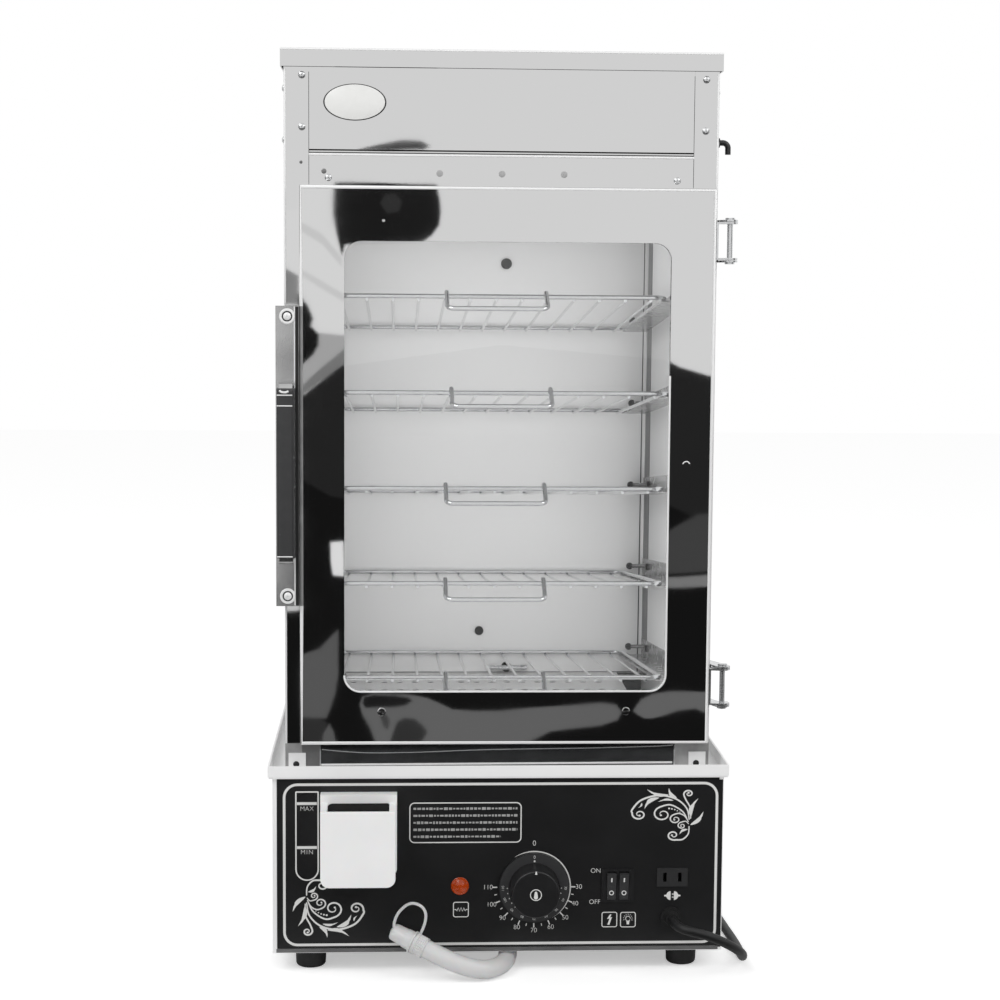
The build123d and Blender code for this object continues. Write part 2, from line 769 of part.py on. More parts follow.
# Cord gland: flange and a neck that tapers to the cord
with BuildPart() as cord_gland:
    rod((gland_x, panel_y, gland_z), gland_flange_radius, gland_flange_proud, (0, -1, 0))
    with BuildSketch(Plane(origin=(gland_x, panel_y - gland_flange_proud, gland_z), z_dir=(0, -1, 0))):
        Circle(gland_body_radius)
    with BuildSketch(Plane(origin=(gland_x, panel_y - gland_reach, gland_z), z_dir=(0, -1, 0))):
        Circle(gland_neck_radius)
    loft()
    rod((gland_x, panel_y, gland_z), gland_body_radius, gland_body_depth, (0, 1, 0))
save(cord_gland, "cord_gland")

# Corner posts: angles, with a wider foot plate on the two front ones
front_face = cabinet_y - foot_plate_thickness
with BuildPart() as corner_posts:
    for side in (-1, 1):
        outer = side * half_cabinet
        inner = side * post_inner
        skin = outer - side * post_sheet
        foot_inner = outer - side * foot_plate_width
        for y, step in ((cabinet_y, 1), (cabinet_back, -1)):
            face = sorted((y, y + step * post_sheet))
            leg = sorted((y, y + step * post_face))
            slab(sorted((outer, inner)), face, (tray_floor, post_top))
            slab(sorted((outer, skin)), leg, (tray_floor, post_top))
        slab(sorted((outer, foot_inner)), (front_face, cabinet_y), (tray_floor, tray_floor + foot_plate_height))
save(corner_posts, "corner_posts")

# Outer panels: two sides inside the posts' side legs, and the back between them
panel_half = half_cabinet - post_sheet - sheet
with BuildPart() as outer_panels:
    for side in (-1, 1):
        outer = side * (half_cabinet - post_sheet)
        slab(sorted((outer, outer - side * sheet)), (cabinet_y + post_sheet, cabinet_back - post_sheet),
             (tray_floor, post_top))
    slab((-panel_half, panel_half), (cabinet_back - post_sheet - sheet, cabinet_back - post_sheet),
         (tray_floor, post_top))
save(outer_panels, "outer_panels")

# Inner liner: two sides and a back; the back carries the fittings, so it has their holes
with BuildPart() as inner_liner:
    for side in (-1, 1):
        slab(sorted((side * half_inside, side * (half_inside + sheet))),
             (cabinet_y + post_sheet, inside_back + sheet), (tray_floor, ceiling_z))
    slab((-half_inside, half_inside), (inside_back, inside_back + sheet), (tray_floor, ceiling_z))
    rod((grommet_x, inside_back - overrun, grommet_z), grommet_radius / 2, 2 * overrun, (0, 1, 0), Mode.SUBTRACT)
save(inner_liner, "inner_liner")

# Cap over the posts
with BuildPart() as top_cover:
    slab((-half_cabinet - cap_overhang, half_cabinet + cap_overhang),
         (cabinet_y - cap_overhang, cabinet_back + cap_overhang), (cap_bottom, cap_top))
    fillet(top_cover.edges().group_by(Axis.Z)[-1], radius=shell_sheet / 2)
    slab((-half_cabinet - cap_overhang + shell_sheet, half_cabinet + cap_overhang - shell_sheet),
         (cabinet_y - cap_overhang + shell_sheet, cabinet_back + cap_overhang - shell_sheet),
         (cap_bottom - overrun, post_top), Mode.SUBTRACT)
save(top_cover, "top_cover")


def front_sheet(bottom, top, tuck_bottom):
    """Front sheet between the posts, with flanges tucked behind them."""
    slab((-post_inner + gap, post_inner - gap), (cabinet_y, cabinet_y + post_sheet), (bottom, top))
    for side in (-1, 1):
        slab(sorted((side * (post_inner - fascia_tuck / 2), side * (post_inner + fascia_tuck / 2))),
             (cabinet_y + post_sheet, cabinet_y + post_sheet + sheet), (tuck_bottom, top))


# Upper fascia with an inward fold at its foot, and the header strip under it
fascia_bottom = header_top + fascia_seam
with BuildPart() as upper_fascia:
    front_sheet(fascia_bottom, post_top, fascia_bottom)
    slab((-post_inner + fascia_tuck, post_inner - fascia_tuck),
         (cabinet_y + post_sheet, cabinet_y + ledge_depth), (fascia_bottom, fascia_bottom + sheet))
save(upper_fascia, "upper_fascia")

with BuildPart() as door_header:
    front_sheet(header_bottom, header_top, ceiling_z + sheet + gap)
    slab((-post_inner + fascia_tuck, post_inner - fascia_tuck),
         (cabinet_y + post_sheet, cabinet_y + ledge_depth), (header_top - sheet, header_top))
    with BuildSketch(Plane(origin=(0, cabinet_y + overrun, 0), x_dir=(1, 0, 0), z_dir=(0, -1, 0))):
        with Locations((0, header_bottom + header_hole_lift)):
            with GridLocations(header_hole_pitch, 0, 3, 1):
                Circle(header_hole_radius)
    extrude(amount=2 * overrun, mode=Mode.SUBTRACT)
save(door_header, "door_header")

# Sills that close the foot of the cabinet and carry the steam plate
with BuildPart() as sills:
    slab((-post_inner + gap, post_inner - gap), (cabinet_y, cabinet_y + post_sheet), (tray_floor, sill_top))
    slab((-post_inner + gap, post_inner - gap), (cabinet_y, cabinet_y + ledge_depth),
         (steam_plate_z - sheet, steam_plate_z))
    slab((-half_inside + gap, half_inside - gap), (inside_back - sheet, inside_back), (tray_floor, steam_plate_z))
    slab((-half_inside + gap, half_inside - gap), (inside_back - ledge_depth, inside_back),
         (steam_plate_z - sheet, steam_plate_z))
save(sills, "sills")

# Steam plate with its holes
steam_count_x = int(2 * (half_inside - steam_margin_x) / steam_hole_pitch_x)
steam_count_y = int((inside_back - cabinet_y - 2 * steam_margin_y) / steam_hole_pitch_y)
with BuildPart() as steam_plate:
    slab((-half_inside + steam_plate_inset, half_inside - steam_plate_inset),
         (cabinet_y + post_sheet + gap, inside_back - gap), (steam_plate_z, steam_plate_z + sheet))
    with BuildSketch(Plane.XY.offset(steam_plate_z - overrun)):
        with Locations((-steam_hole_pitch_x / 2, (cabinet_y + inside_back) / 2)):
            with GridLocations(steam_hole_pitch_x, steam_hole_pitch_y, steam_count_x, steam_count_y):
                Circle(steam_hole_radius)
    extrude(amount=2 * overrun, mode=Mode.SUBTRACT)
save(steam_plate, "steam_plate")

# Ceiling plate with the lamp's opening
lamp_y = panel_y + lamp_setback
with BuildPart() as ceiling_plate:
    slab((-half_inside - sheet, half_inside + sheet), (cabinet_y + post_sheet, inside_back + sheet),
         (ceiling_z, ceiling_z + sheet))
    rod((0, lamp_y, ceiling_z - overrun), lamp_opening_radius, 2 * overrun, (0, 0, 1), Mode.SUBTRACT)
save(ceiling_plate, "ceiling_plate")

# Lamp glass on the ceiling plate, and the holder with its bulb over it
lens_z = ceiling_z + sheet
with BuildPart() as lamp_cover:
    rod((0, lamp_y, lens_z), lamp_lens_radius, lamp_lens_thickness, (0, 0, 1))
save(lamp_cover, "lamp_cover")

cup_z = lens_z + lamp_lens_thickness
with BuildPart() as lamp_holder:
    rod((0, lamp_y, cup_z), lamp_cup_radius, lamp_cup_height, (0, 0, 1))
    rod((0, lamp_y, cup_z - overrun), lamp_cup_radius - 2 * sheet, lamp_cup_height + overrun - 2 * sheet,
        (0, 0, 1), Mode.SUBTRACT)
    rod((0, lamp_y, cup_z + lamp_cup_height - 2 * sheet - lamp_bulb_length), lamp_bulb_radius, lamp_bulb_length,
        (0, 0, 1))
save(lamp_holder, "lamp_holder")

# Screw heads on the posts, the header and the sides
post_screw_x = half_cabinet - screw_inset
header_screw_x = half_cabinet - header_screw_inset
header_screw_z = header_bottom + header_screw_lift
with BuildPart() as cabinet_screws:
    for side in (-1, 1):
        for drop in screw_drops:
            rod((side * post_screw_x, cabinet_y, post_top - drop), screw_head_radius, screw_head_height, (0, -1, 0))
            rod((side * half_cabinet, cabinet_y + side_screw_setback, post_top - drop - side_screw_step),
                screw_head_radius, screw_head_height, (side, 0, 0))
            rod((side * half_cabinet, cabinet_back - side_screw_setback, post_top - drop - side_screw_step),
                screw_head_radius, screw_head_height, (side, 0, 0))
            rod((side * post_screw_x, cabinet_back, post_top - drop), screw_head_radius, screw_head_height,
                (0, 1, 0))
        rod((side * header_screw_x, cabinet_y, header_screw_z), screw_head_radius, screw_head_height, (0, -1, 0))
save(cabinet_screws, "cabinet_screws")

# Clips that hold the cabinet on the tray: two in front, one on each side at the back
clip_x = half_cabinet - foot_plate_width / 3
with BuildPart() as corner_clips:
    for side in (-1, 1):
        middle = side * clip_x
        across = (middle - clip_width / 2, middle + clip_width / 2)
        slab(across, (front_face - clip_sheet, front_face), (tray_floor, tray_floor + clip_height))
        slab(across, (front_face - clip_reach, front_face), (tray_floor, tray_floor + clip_sheet))
        rod((middle, front_face - clip_reach / 2, tray_floor - overrun), clip_hole_radius, 3 * overrun, (0, 0, 1),
            Mode.SUBTRACT)
        along = (cabinet_back - post_face + post_sheet, cabinet_back - post_sheet)
        outer = side * half_cabinet
        slab(sorted((outer, outer + side * clip_sheet)), along, (tray_floor, tray_floor + clip_height))
        slab(sorted((outer, outer + side * side_clip_reach)), along, (tray_floor, tray_floor + clip_sheet))
save(corner_clips, "corner_clips")

# Fittings on the back wall: two studs and the grommet
with BuildPart() as wall_fittings:
    rod((stud_x, inside_back, stud_z), stud_radius, stud_reach, (0, -1, 0))
    rod((low_stud_x, inside_back, low_stud_z), low_stud_radius, stud_reach, (0, -1, 0))
    ring((grommet_x, inside_back, grommet_z), grommet_radius, capillary_radius + gap, stud_reach, (0, -1, 0))
save(wall_fittings, "wall_fittings")

# Sensor bulb across the back wall, with its capillary down the wall cavity to the thermostat
bulb_y = inside_back - bulb_gap
stat_back = stat_y + stat_depth
with BuildPart() as thermostat_probe:
    rod((grommet_x - bulb_length / 2, bulb_y, grommet_z), bulb_radius, bulb_length, (1, 0, 0))
    with BuildLine() as capillary:
        FilletPolyline((grommet_x, bulb_y, grommet_z), (grommet_x, cavity_y, grommet_z),
                       (grommet_x, cavity_y, capillary_z), (capillary_x, cavity_y, capillary_z),
                       (capillary_x, stat_back + capillary_bend, capillary_z),
                       (dial_x, stat_back + capillary_bend, capillary_z), (dial_x, stat_back, capillary_z),
                       radius=capillary_bend / 4)
    with BuildSketch(Plane(origin=(grommet_x, bulb_y, grommet_z), z_dir=(0, 1, 0))):
        Circle(capillary_radius)
    sweep(path=capillary.line)
save(thermostat_probe, "thermostat_probe")

# Elbow outlet on the right side
elbow_y = panel_y + elbow_setback
elbow_x = half_cabinet - post_sheet
elbow_end = elbow_x + elbow_flange_thickness + elbow_block_length
with BuildPart() as vent_elbow:
    rod((elbow_x, elbow_y, elbow_z), elbow_flange_radius, elbow_flange_thickness, (1, 0, 0))
    rod((elbow_x, elbow_y, elbow_z), elbow_block_radius, elbow_flange_thickness + elbow_block_length / 2, (1, 0, 0))
    with BuildLine() as elbow_path:
        Line((elbow_x, elbow_y, elbow_z), (elbow_end, elbow_y, elbow_z))
        TangentArc((elbow_end, elbow_y, elbow_z), (elbow_end + elbow_bend, elbow_y, elbow_z - elbow_bend),
                   tangent=(1, 0, 0))
        Line((elbow_end + elbow_bend, elbow_y, elbow_z - elbow_bend),
             (elbow_end + elbow_bend, elbow_y, elbow_z - elbow_bend - elbow_drop))
    with BuildSketch(Plane(origin=(elbow_x, elbow_y, elbow_z), z_dir=(1, 0, 0))):
        Circle(elbow_tube_radius)
    sweep(path=elbow_path.line)
save(vent_elbow, "vent_elbow")


def shelf_place(level, shift):
    """Sloping place of a shelf: its front wire's middle, falling to the back."""
    height = shelf_top_z - level * shelf_pitch
    return Plane(origin=(shift, panel_y + shelf_setback, height), x_dir=(1, 0, 0),
                 z_dir=(0, math.sin(slope), math.cos(slope))).location


# One wire shelf, flat: frame, cross wires under it and a pull hooked over the front wire
half_shelf = shelf_width / 2
cross_z = -frame_wire_radius - cross_wire_radius + weld_bite
cross_wire_count = 2 * int((half_shelf - shelf_corner) / cross_wire_pitch) + 1
half_pull = pull_width / 2
with BuildPart() as flat_shelf:
    with BuildLine() as frame_loop:
        FilletPolyline((half_shelf, 0, 0), (half_shelf, shelf_depth, 0), (-half_shelf, shelf_depth, 0),
                       (-half_shelf, 0, 0), radius=shelf_corner, close=True)
    with BuildSketch(Plane(origin=frame_loop.line @ 0, z_dir=frame_loop.line % 0)):
        Circle(frame_wire_radius)
    sweep(path=frame_loop.line)
    with BuildSketch(Plane(origin=(0, 0, cross_z), x_dir=(1, 0, 0), z_dir=(0, 1, 0))):
        with GridLocations(cross_wire_pitch, 0, cross_wire_count, 1):
            Circle(cross_wire_radius)
    extrude(amount=shelf_depth)
    hook_top = 2 * frame_wire_radius - weld_bite
    with BuildLine() as pull_path:
        FilletPolyline((-half_pull, pull_hook, hook_top), (-half_pull, 0, hook_top),
                       (-half_pull, -pull_reach, -pull_drop), (half_pull, -pull_reach, -pull_drop),
                       (half_pull, 0, hook_top), (half_pull, pull_hook, hook_top), radius=pull_bend)
    with BuildSketch(Plane(origin=(-half_pull, pull_hook, hook_top), z_dir=(0, -1, 0))):
        Circle(frame_wire_radius)
    sweep(path=pull_path.line)

for level in range(shelf_count):
    with BuildPart() as shelf:
        add(flat_shelf.part.moved(shelf_place(level, shelf_shifts[level])))
    save(shelf, "shelf_" + str(level + 1))

# Rails under the shelves' sides, and the black knobs and screw heads on them
leg_top = -frame_wire_radius - gap
knob_x = half_shelf + shelf_slack
knob_y = shelf_depth - knob_rear_inset
stem_reach = knob_x + knob_head_radius - knob_seat
with BuildPart() as flat_rails:
    for side in (-1, 1):
        wall = side * half_inside
        slab(sorted((wall, wall - side * rail_leg)), (0, shelf_depth), (leg_top - rail_sheet, leg_top))
        slab(sorted((wall, wall - side * rail_sheet)), (0, shelf_depth), (leg_top - rail_sheet, rail_web))
        rod((wall, knob_y, knob_lift), knob_stem_radius, half_inside - stem_reach, (-side, 0, 0))
with BuildPart() as flat_knobs:
    for side in (-1, 1):
        web = side * (half_inside - rail_sheet)
        for radius, length in ((knob_head_radius, knob_head_length), (knob_tip_radius, knob_head_length + 2)):
            rod((side * knob_x, knob_y - length / 2, knob_lift), radius, length, (0, 1, 0))
        slab(sorted((side * stem_reach, side * (stem_reach + knob_head_radius))),
             (knob_y - knob_head_radius, knob_y + knob_head_radius),
             (knob_lift - knob_head_radius, knob_lift + knob_head_radius), Mode.SUBTRACT)
        for y in (rail_screw_inset, shelf_depth - knob_rear_inset - rail_screw_inset):
            rod((web, y, knob_lift), rail_screw_radius, rail_screw_height, (-side, 0, 0))

with BuildPart() as shelf_rails:
    for level in range(shelf_count):
        add(flat_rails.part.moved(shelf_place(level, 0)))
save(shelf_rails, "shelf_rails")

with BuildPart() as rail_knobs:
    for level in range(shelf_count):
        add(flat_knobs.part.moved(shelf_place(level, 0)))
save(rail_knobs, "rail_knobs")

# Door: skin, inner frame, glass in its gasket, and the seal on its back
door_x = (door_left + door_right) / 2
door_z = (door_bottom + door_top) / 2
door_width = door_right - door_left
door_height = door_top - door_bottom
window_x = (window_left + window_right) / 2
window_z = (window_bottom + window_top) / 2
window_width = window_right - window_left
window_height = window_top - window_bottom
glass_front = door_y + sheet + gap
glass_back = glass_front + glass_thickness


def upright(y):
    """Upright plane that faces the front at a depth."""
    return Plane(origin=(0, y, 0), x_dir=(1, 0, 0), z_dir=(0, -1, 0))


def window_frame(outer, inner, y_front, y_back):
    """Rounded ring around the window, from an outer to an inner margin."""
    with BuildSketch(upright(y_back)) as outline:
        with Locations((window_x, window_z)):
            RectangleRounded(window_width + 2 * outer, window_height + 2 * outer, window_radius + outer)
            RectangleRounded(window_width + 2 * inner, window_height + 2 * inner, window_radius + inner,
                             mode=Mode.SUBTRACT)
    extrude(outline.sketch, amount=y_back - y_front)


with BuildPart() as door_skin:
    slab((door_left, door_right), (door_y, door_back), (door_bottom, door_top))
    fillet(door_skin.edges().group_by(Axis.Y)[0], radius=door_edge_radius)
    slab((door_left + sheet, door_right - sheet), (door_y + sheet, door_back + overrun),
         (door_bottom + sheet, door_top - sheet), Mode.SUBTRACT)
    with BuildSketch(upright(door_back)):
        with Locations((window_x, window_z)):
            RectangleRounded(window_width, window_height, window_radius)
    extrude(amount=2 * door_thickness, mode=Mode.SUBTRACT)
save(door_skin, "door_skin")

with BuildPart() as door_inner_frame:
    slab((door_left + sheet + gap, door_right - sheet - gap), (door_back - sheet, door_back),
         (door_bottom + sheet + gap, door_top - sheet - gap))
    with BuildSketch(upright(door_back + overrun)):
        with Locations((window_x, window_z)):
            RectangleRounded(window_width, window_height, window_radius)
    extrude(amount=2 * overrun, mode=Mode.SUBTRACT)
    window_frame(sheet, 0, glass_back + gap, door_back)
save(door_inner_frame, "door_inner_frame")

with BuildPart() as door_glass:
    with BuildSketch(upright(glass_back)):
        with Locations((window_x, window_z)):
            RectangleRounded(window_width + 2 * glass_margin, window_height + 2 * glass_margin,
                             window_radius + glass_margin)
    extrude(amount=glass_thickness)
save(door_glass, "door_glass")

with BuildPart() as glass_gasket:
    window_frame(glass_margin + gasket_width, glass_margin - gasket_grip, door_y + sheet, glass_back + gap)
    with BuildSketch(upright(glass_back)):
        with Locations((window_x, window_z)):
            RectangleRounded(window_width + 2 * glass_margin, window_height + 2 * glass_margin,
                             window_radius + glass_margin)
    extrude(amount=glass_thickness, mode=Mode.SUBTRACT)
save(glass_gasket, "glass_gasket")

with BuildPart() as door_seal:
    with BuildSketch(upright(door_back + seal_thickness)):
        with Locations((door_x, door_z)):
            Rectangle(door_width - 2 * seal_inset, door_height - 2 * seal_inset)
            Rectangle(door_width - 2 * seal_inset - 2 * seal_width, door_height - 2 * seal_inset - 2 * seal_width,
                      mode=Mode.SUBTRACT)
    extrude(amount=seal_thickness)
save(door_seal, "door_seal")

# Hinges: brackets on the cabinet's side, lugs on the door's edge between them, and pins
pin_y_hinge = panel_y + pin_setback
half_hinge = hinge_height / 2
half_lugs = half_hinge - lug_sheet - lug_gap


def hinge_lug(z, x_range, y_range):
    """Flat lug from a plate's foot to around the pin."""
    with BuildSketch(Plane.XY.offset(z)) as outline:
        with Locations(((x_range[0] + x_range[1]) / 2, (y_range[0] + y_range[1]) / 2)):
            Rectangle(x_range[1] - x_range[0], y_range[1] - y_range[0])
        with Locations((pin_x, pin_y_hinge)):
            Circle(lug_radius)
        make_hull()
    extrude(outline.sketch, amount=lug_sheet)
    rod((pin_x, pin_y_hinge, z - lug_sheet), pin_radius + pin_clearance, 3 * lug_sheet, (0, 0, 1), Mode.SUBTRACT)


bracket_y = (pin_y_hinge + bracket_start, pin_y_hinge + bracket_start + bracket_length)
with BuildPart() as hinge_brackets:
    for z in (lower_hinge_z, upper_hinge_z):
        slab((half_cabinet, half_cabinet + lug_sheet), bracket_y, (z - half_hinge, z + half_hinge))
        hinge_lug(z - half_hinge, (half_cabinet, half_cabinet + lug_sheet), bracket_y)
        hinge_lug(z + half_hinge - lug_sheet, (half_cabinet, half_cabinet + lug_sheet), bracket_y)
save(hinge_brackets, "hinge_brackets")

lug_y = (door_y + gap, door_y + gap + door_lug_depth)
with BuildPart() as door_lugs:
    for z in (lower_hinge_z, upper_hinge_z):
        slab((door_right, door_right + lug_sheet), lug_y, (z - half_lugs, z + half_lugs))
        hinge_lug(z - half_lugs, (door_right, door_right + lug_sheet), lug_y)
        hinge_lug(z + half_lugs - lug_sheet, (door_right, door_right + lug_sheet), lug_y)
save(door_lugs, "door_lugs")

with BuildPart() as hinge_pins:
    for z in (lower_hinge_z, upper_hinge_z):
        rod((pin_x, pin_y_hinge, z - half_hinge - pin_head_height), pin_radius, hinge_height + 2 * pin_head_height,
            (0, 0, 1))
        rod((pin_x, pin_y_hinge, z + half_hinge), pin_head_radius, pin_head_height, (0, 0, 1))
        rod((pin_x, pin_y_hinge, z - half_hinge - pin_head_height), pin_head_radius, pin_head_height, (0, 0, 1))
save(hinge_pins, "hinge_pins")

# Handle: channel on the door's left edge with a steel strap bridge, its black grip, and two screws
web_y = door_y - channel_proud
channel_x = door_left - channel_width / 2
channel_flange_back = door_back - gap
with BuildPart() as handle_channel:
    slab((door_left - channel_width, door_left), (web_y, channel_flange_back), (channel_bottom, channel_top))
    slab((door_left - channel_width + channel_sheet, door_left - channel_sheet),
         (web_y + channel_sheet, door_back + overrun), (channel_bottom - overrun, channel_top + overrun),
         Mode.SUBTRACT)
    slab((channel_x - strap_width / 2, channel_x + strap_width / 2), (web_y - strap_reach, web_y),
         (strap_bottom, strap_top))
    fillet(handle_channel.edges().filter_by(Axis.X).group_by(Axis.Y)[0], radius=strap_rounding)
    slab((channel_x - strap_width / 2 - overrun, channel_x + strap_width / 2 + overrun),
         (web_y - strap_reach + strap_thickness, web_y),
         (strap_bottom + strap_thickness, strap_top - strap_thickness), Mode.SUBTRACT)
save(handle_channel, "handle_channel")

strap_front = web_y - strap_reach
strap_middle = strap_front + strap_thickness / 2
with BuildPart() as handle_grip:
    slab((channel_x - grip_width / 2, channel_x + grip_width / 2),
         (strap_middle - grip_depth / 2, strap_middle + grip_depth / 2), (grip_bottom, grip_top))
    fillet(handle_grip.edges().group_by(Axis.Y)[0], radius=grip_rounding)
    slab((channel_x - strap_width / 2 - grip_wrap_gap, channel_x + strap_width / 2 + grip_wrap_gap),
         (strap_front - grip_wrap_gap, strap_front + strap_thickness + grip_wrap_gap),
         (grip_bottom - overrun, grip_top + overrun), Mode.SUBTRACT)
save(handle_grip, "handle_grip")

with BuildPart() as handle_screws:
    for z in (handle_screw_bottom, handle_screw_top):
        rod((channel_x, web_y, z), washer_radius, washer_height, (0, -1, 0))
        rod((channel_x, web_y, z), handle_screw_radius, washer_height + handle_screw_height, (0, -1, 0))
save(handle_screws, "handle_screws")


def turn_radii(points):
    """Largest arc that each corner's two runs allow."""
    radii = []
    for before, here, after in zip(points, points[1:], points[2:]):
        run_in = Vector(here) - Vector(before)
        run_out = Vector(after) - Vector(here)
        half_turn = math.radians(run_in.get_angle(run_out)) / 2
        radii.append(arc_share * min(run_in.length, run_out.length) / math.tan(half_turn))
    return radii


def tube(points, radius, name):
    """Tube along straight runs joined by tangent arcs."""
    radii = turn_radii(points)
    with BuildPart() as cord:
        with BuildLine() as path:
            FilletPolyline(*points, radius=radii)
        with BuildSketch(Plane(origin=points[0], z_dir=Vector(points[1]) - Vector(points[0]))):
            Circle(radius)
        sweep(path=path.line)
    length = path.wires()[0].length
    share = cord.part.volume / (math.pi * radius ** 2 * length)
    print(name, "length", round(length, 1), "volume share", round(share, 4), "radii", [round(r) for r in radii])
    save(cord, name)


# Drain hose: from the collar forward under the base, round to the left and up to its sleeve
hose_route = [(9.9, -5.0, 8.4), (-24.0, -32.0, 9.6), (-62.0, -19.0, 27.0)]
hose_points = [(drain_x, hose_start_y, hose_z)] + [(x, panel_y + y, z) for x, y, z in hose_route]
tube(hose_points, hose_radius, "drain_hose")

# Sleeve with ribs on the hose's end, and the cap with its tether
hose_end = Vector(hose_points[-1])
hose_way = (hose_end - Vector(hose_points[-2])).normalized()
cap_start = hose_end + hose_way * sleeve_length
cap_end = cap_start + hose_way * cap_length
rib_count = round(sleeve_length / sleeve_rib_pitch)
rib_step = sleeve_length / rib_count
with BuildPart() as hose_sleeve:
    rod(hose_end, sleeve_radius - sleeve_rib_depth, sleeve_length, hose_way)
    for count in range(rib_count):
        rod(hose_end + hose_way * (count * rib_step), sleeve_radius, rib_step / 2, hose_way)
save(hose_sleeve, "hose_sleeve")

up = Vector(0, 0, 1)
over = (up - hose_way * up.dot(hose_way)).normalized()
tether_foot = cap_start + hose_way * (2 * tether_radius) + over * (cap_radius - tether_radius)
tether_head = cap_end - hose_way * (2 * tether_radius) + over * (cap_radius - tether_radius - cap_rounding)
tether_rise = over * (2 * tether_loop)
with BuildPart() as hose_cap:
    rod(cap_start, cap_radius, cap_length, hose_way)
    fillet(hose_cap.edges().sort_by(Axis(tuple(cap_start), tuple(hose_way)))[-1], radius=cap_rounding)
    rod(cap_end, cap_nipple_radius, cap_nipple_length, hose_way)
    with BuildLine() as tether:
        FilletPolyline(tether_foot, tether_foot + tether_rise, tether_head + tether_rise, tether_head,
                       radius=tether_bend)
    with BuildSketch(Plane(origin=tether_foot, z_dir=over)):
        Circle(tether_radius)
    sweep(path=tether.line)
save(hose_cap, "hose_cap")

# Mains cord: out of the gland, round to the right and down, then back along the floor beside the base
cord_z = cord_radius + cord_lift
coil_x, coil_y = coil_centre
right_x = coil_x + coil_radius
cord_start = panel_y - gland_reach
cord_points = [(gland_x, cord_start, gland_z), (gland_x, -207.0, gland_z), (178.0, -208.0, 39.6), (204.0, -201.0, 24.0),
               (211.0, -163.0, 6.2), (212.5, -113.0, 4.2), (209.0, -51.0, 4.2), (207.0, 13.0, 4.2),
               (207.6, 79.0, 4.2), (210.0, 145.0, 4.2), (208.0, 205.0, 4.2), (right_x, coil_y - 4 * cord_radius - tail_length / 2, cord_z), (right_x, coil_y - 2 * cord_radius, cord_z)]
tube(cord_points, cord_radius, "power_cord")

# Coil: half turns that spiral in on the floor, climb a layer in one half turn, and spiral out above
step = cord_radius + coil_gap / 2
layer = 2 * step
climbing_turn = 4
half_turns = [coil_radius - (climbing_turn - abs(climbing_turn - count)) * step for count in range(2 * climbing_turn)]
with BuildPart() as cord_coil:
    with BuildLine() as coil_path:
        Line((right_x, coil_y - 2 * cord_radius, cord_z), (right_x, coil_y, cord_z))
        x = right_x
        z = cord_z
        for count, radius in enumerate(half_turns):
            way = 1 if count % 2 == 0 else -1
            centre = x - way * radius
            if count == climbing_turn:
                rise = TangentArc((x, coil_y, z), (centre, coil_y + way * radius, z + layer / 2),
                                  tangent=(0, way, 0))
                TangentArc((centre, coil_y + way * radius, z + layer / 2),
                           (centre - way * radius, coil_y, z + layer), tangent=rise % 1)
                z += layer
            else:
                ThreePointArc((x, coil_y, z), (centre, coil_y + way * radius, z), (centre - way * radius, coil_y, z))
            x = centre - way * radius
        tail_x = x - coil_radius
        TangentArc((x, coil_y, z), (tail_x, coil_y + coil_radius, z), tangent=(0, 1, 0))
        plug_x = tail_x - tail_length
        Line((tail_x, coil_y + coil_radius, z), (plug_x, coil_y + coil_radius, z))
    with BuildSketch(Plane(origin=(right_x, coil_y - 2 * cord_radius, cord_z), z_dir=(0, 1, 0))):
        Circle(cord_radius)
    sweep(path=coil_path.line)
coil_wire = coil_path.wires()[0]
coil_length = coil_wire.length
coil_share = cord_coil.part.volume / (math.pi * cord_radius ** 2 * coil_length)
print("cord_coil length", round(coil_length, 1), "volume share", round(coil_share, 4))
path_samples = int(2 * coil_length / cord_radius)
points = [coil_wire @ (count / path_samples) for count in range(path_samples + 1)]
apart = int(path_samples * math.pi * coil_radius / coil_length)
near = min((a - b).length for i, a in enumerate(points) for b in points[i + apart:])
print("cord_coil least gap to itself", round(near - 2 * cord_radius, 2))
save(cord_coil, "cord_coil")

# Plug lying at the coil's tail
plug_y = coil_y + coil_radius
boot_x = plug_x - gap / 3
body_x = plug_x - plug_boot_length
with BuildPart() as plug:
    slab((body_x - plug_length, body_x), (plug_y - plug_width / 2, plug_y + plug_width / 2),
         (z - plug_height / 2, z + plug_height / 2))
    fillet(plug.edges().filter_by(Axis.X), radius=plug_rounding)
    with BuildSketch(Plane(origin=(boot_x, plug_y, z), z_dir=(-1, 0, 0))):
        Circle(cord_radius + gap)
    with BuildSketch(Plane(origin=(body_x, plug_y, z), z_dir=(-1, 0, 0))):
        Circle(plug_boot_radius)
    loft()
    for side in (-1, 1):
        blade_y = plug_y + side * slot_pitch / 2
        slab((body_x - plug_length - blade_length, body_x - plug_length),
             (blade_y - blade_thickness / 2, blade_y + blade_thickness / 2),
             (z - blade_width / 2, z + blade_width / 2))
save(plug, "plug")
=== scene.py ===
# Steamer cabinet, dressed for a picture. Lengths in the dictionaries are millimetres.
import math
import random

import bmesh
import bpy
from mathutils import Matrix, Vector


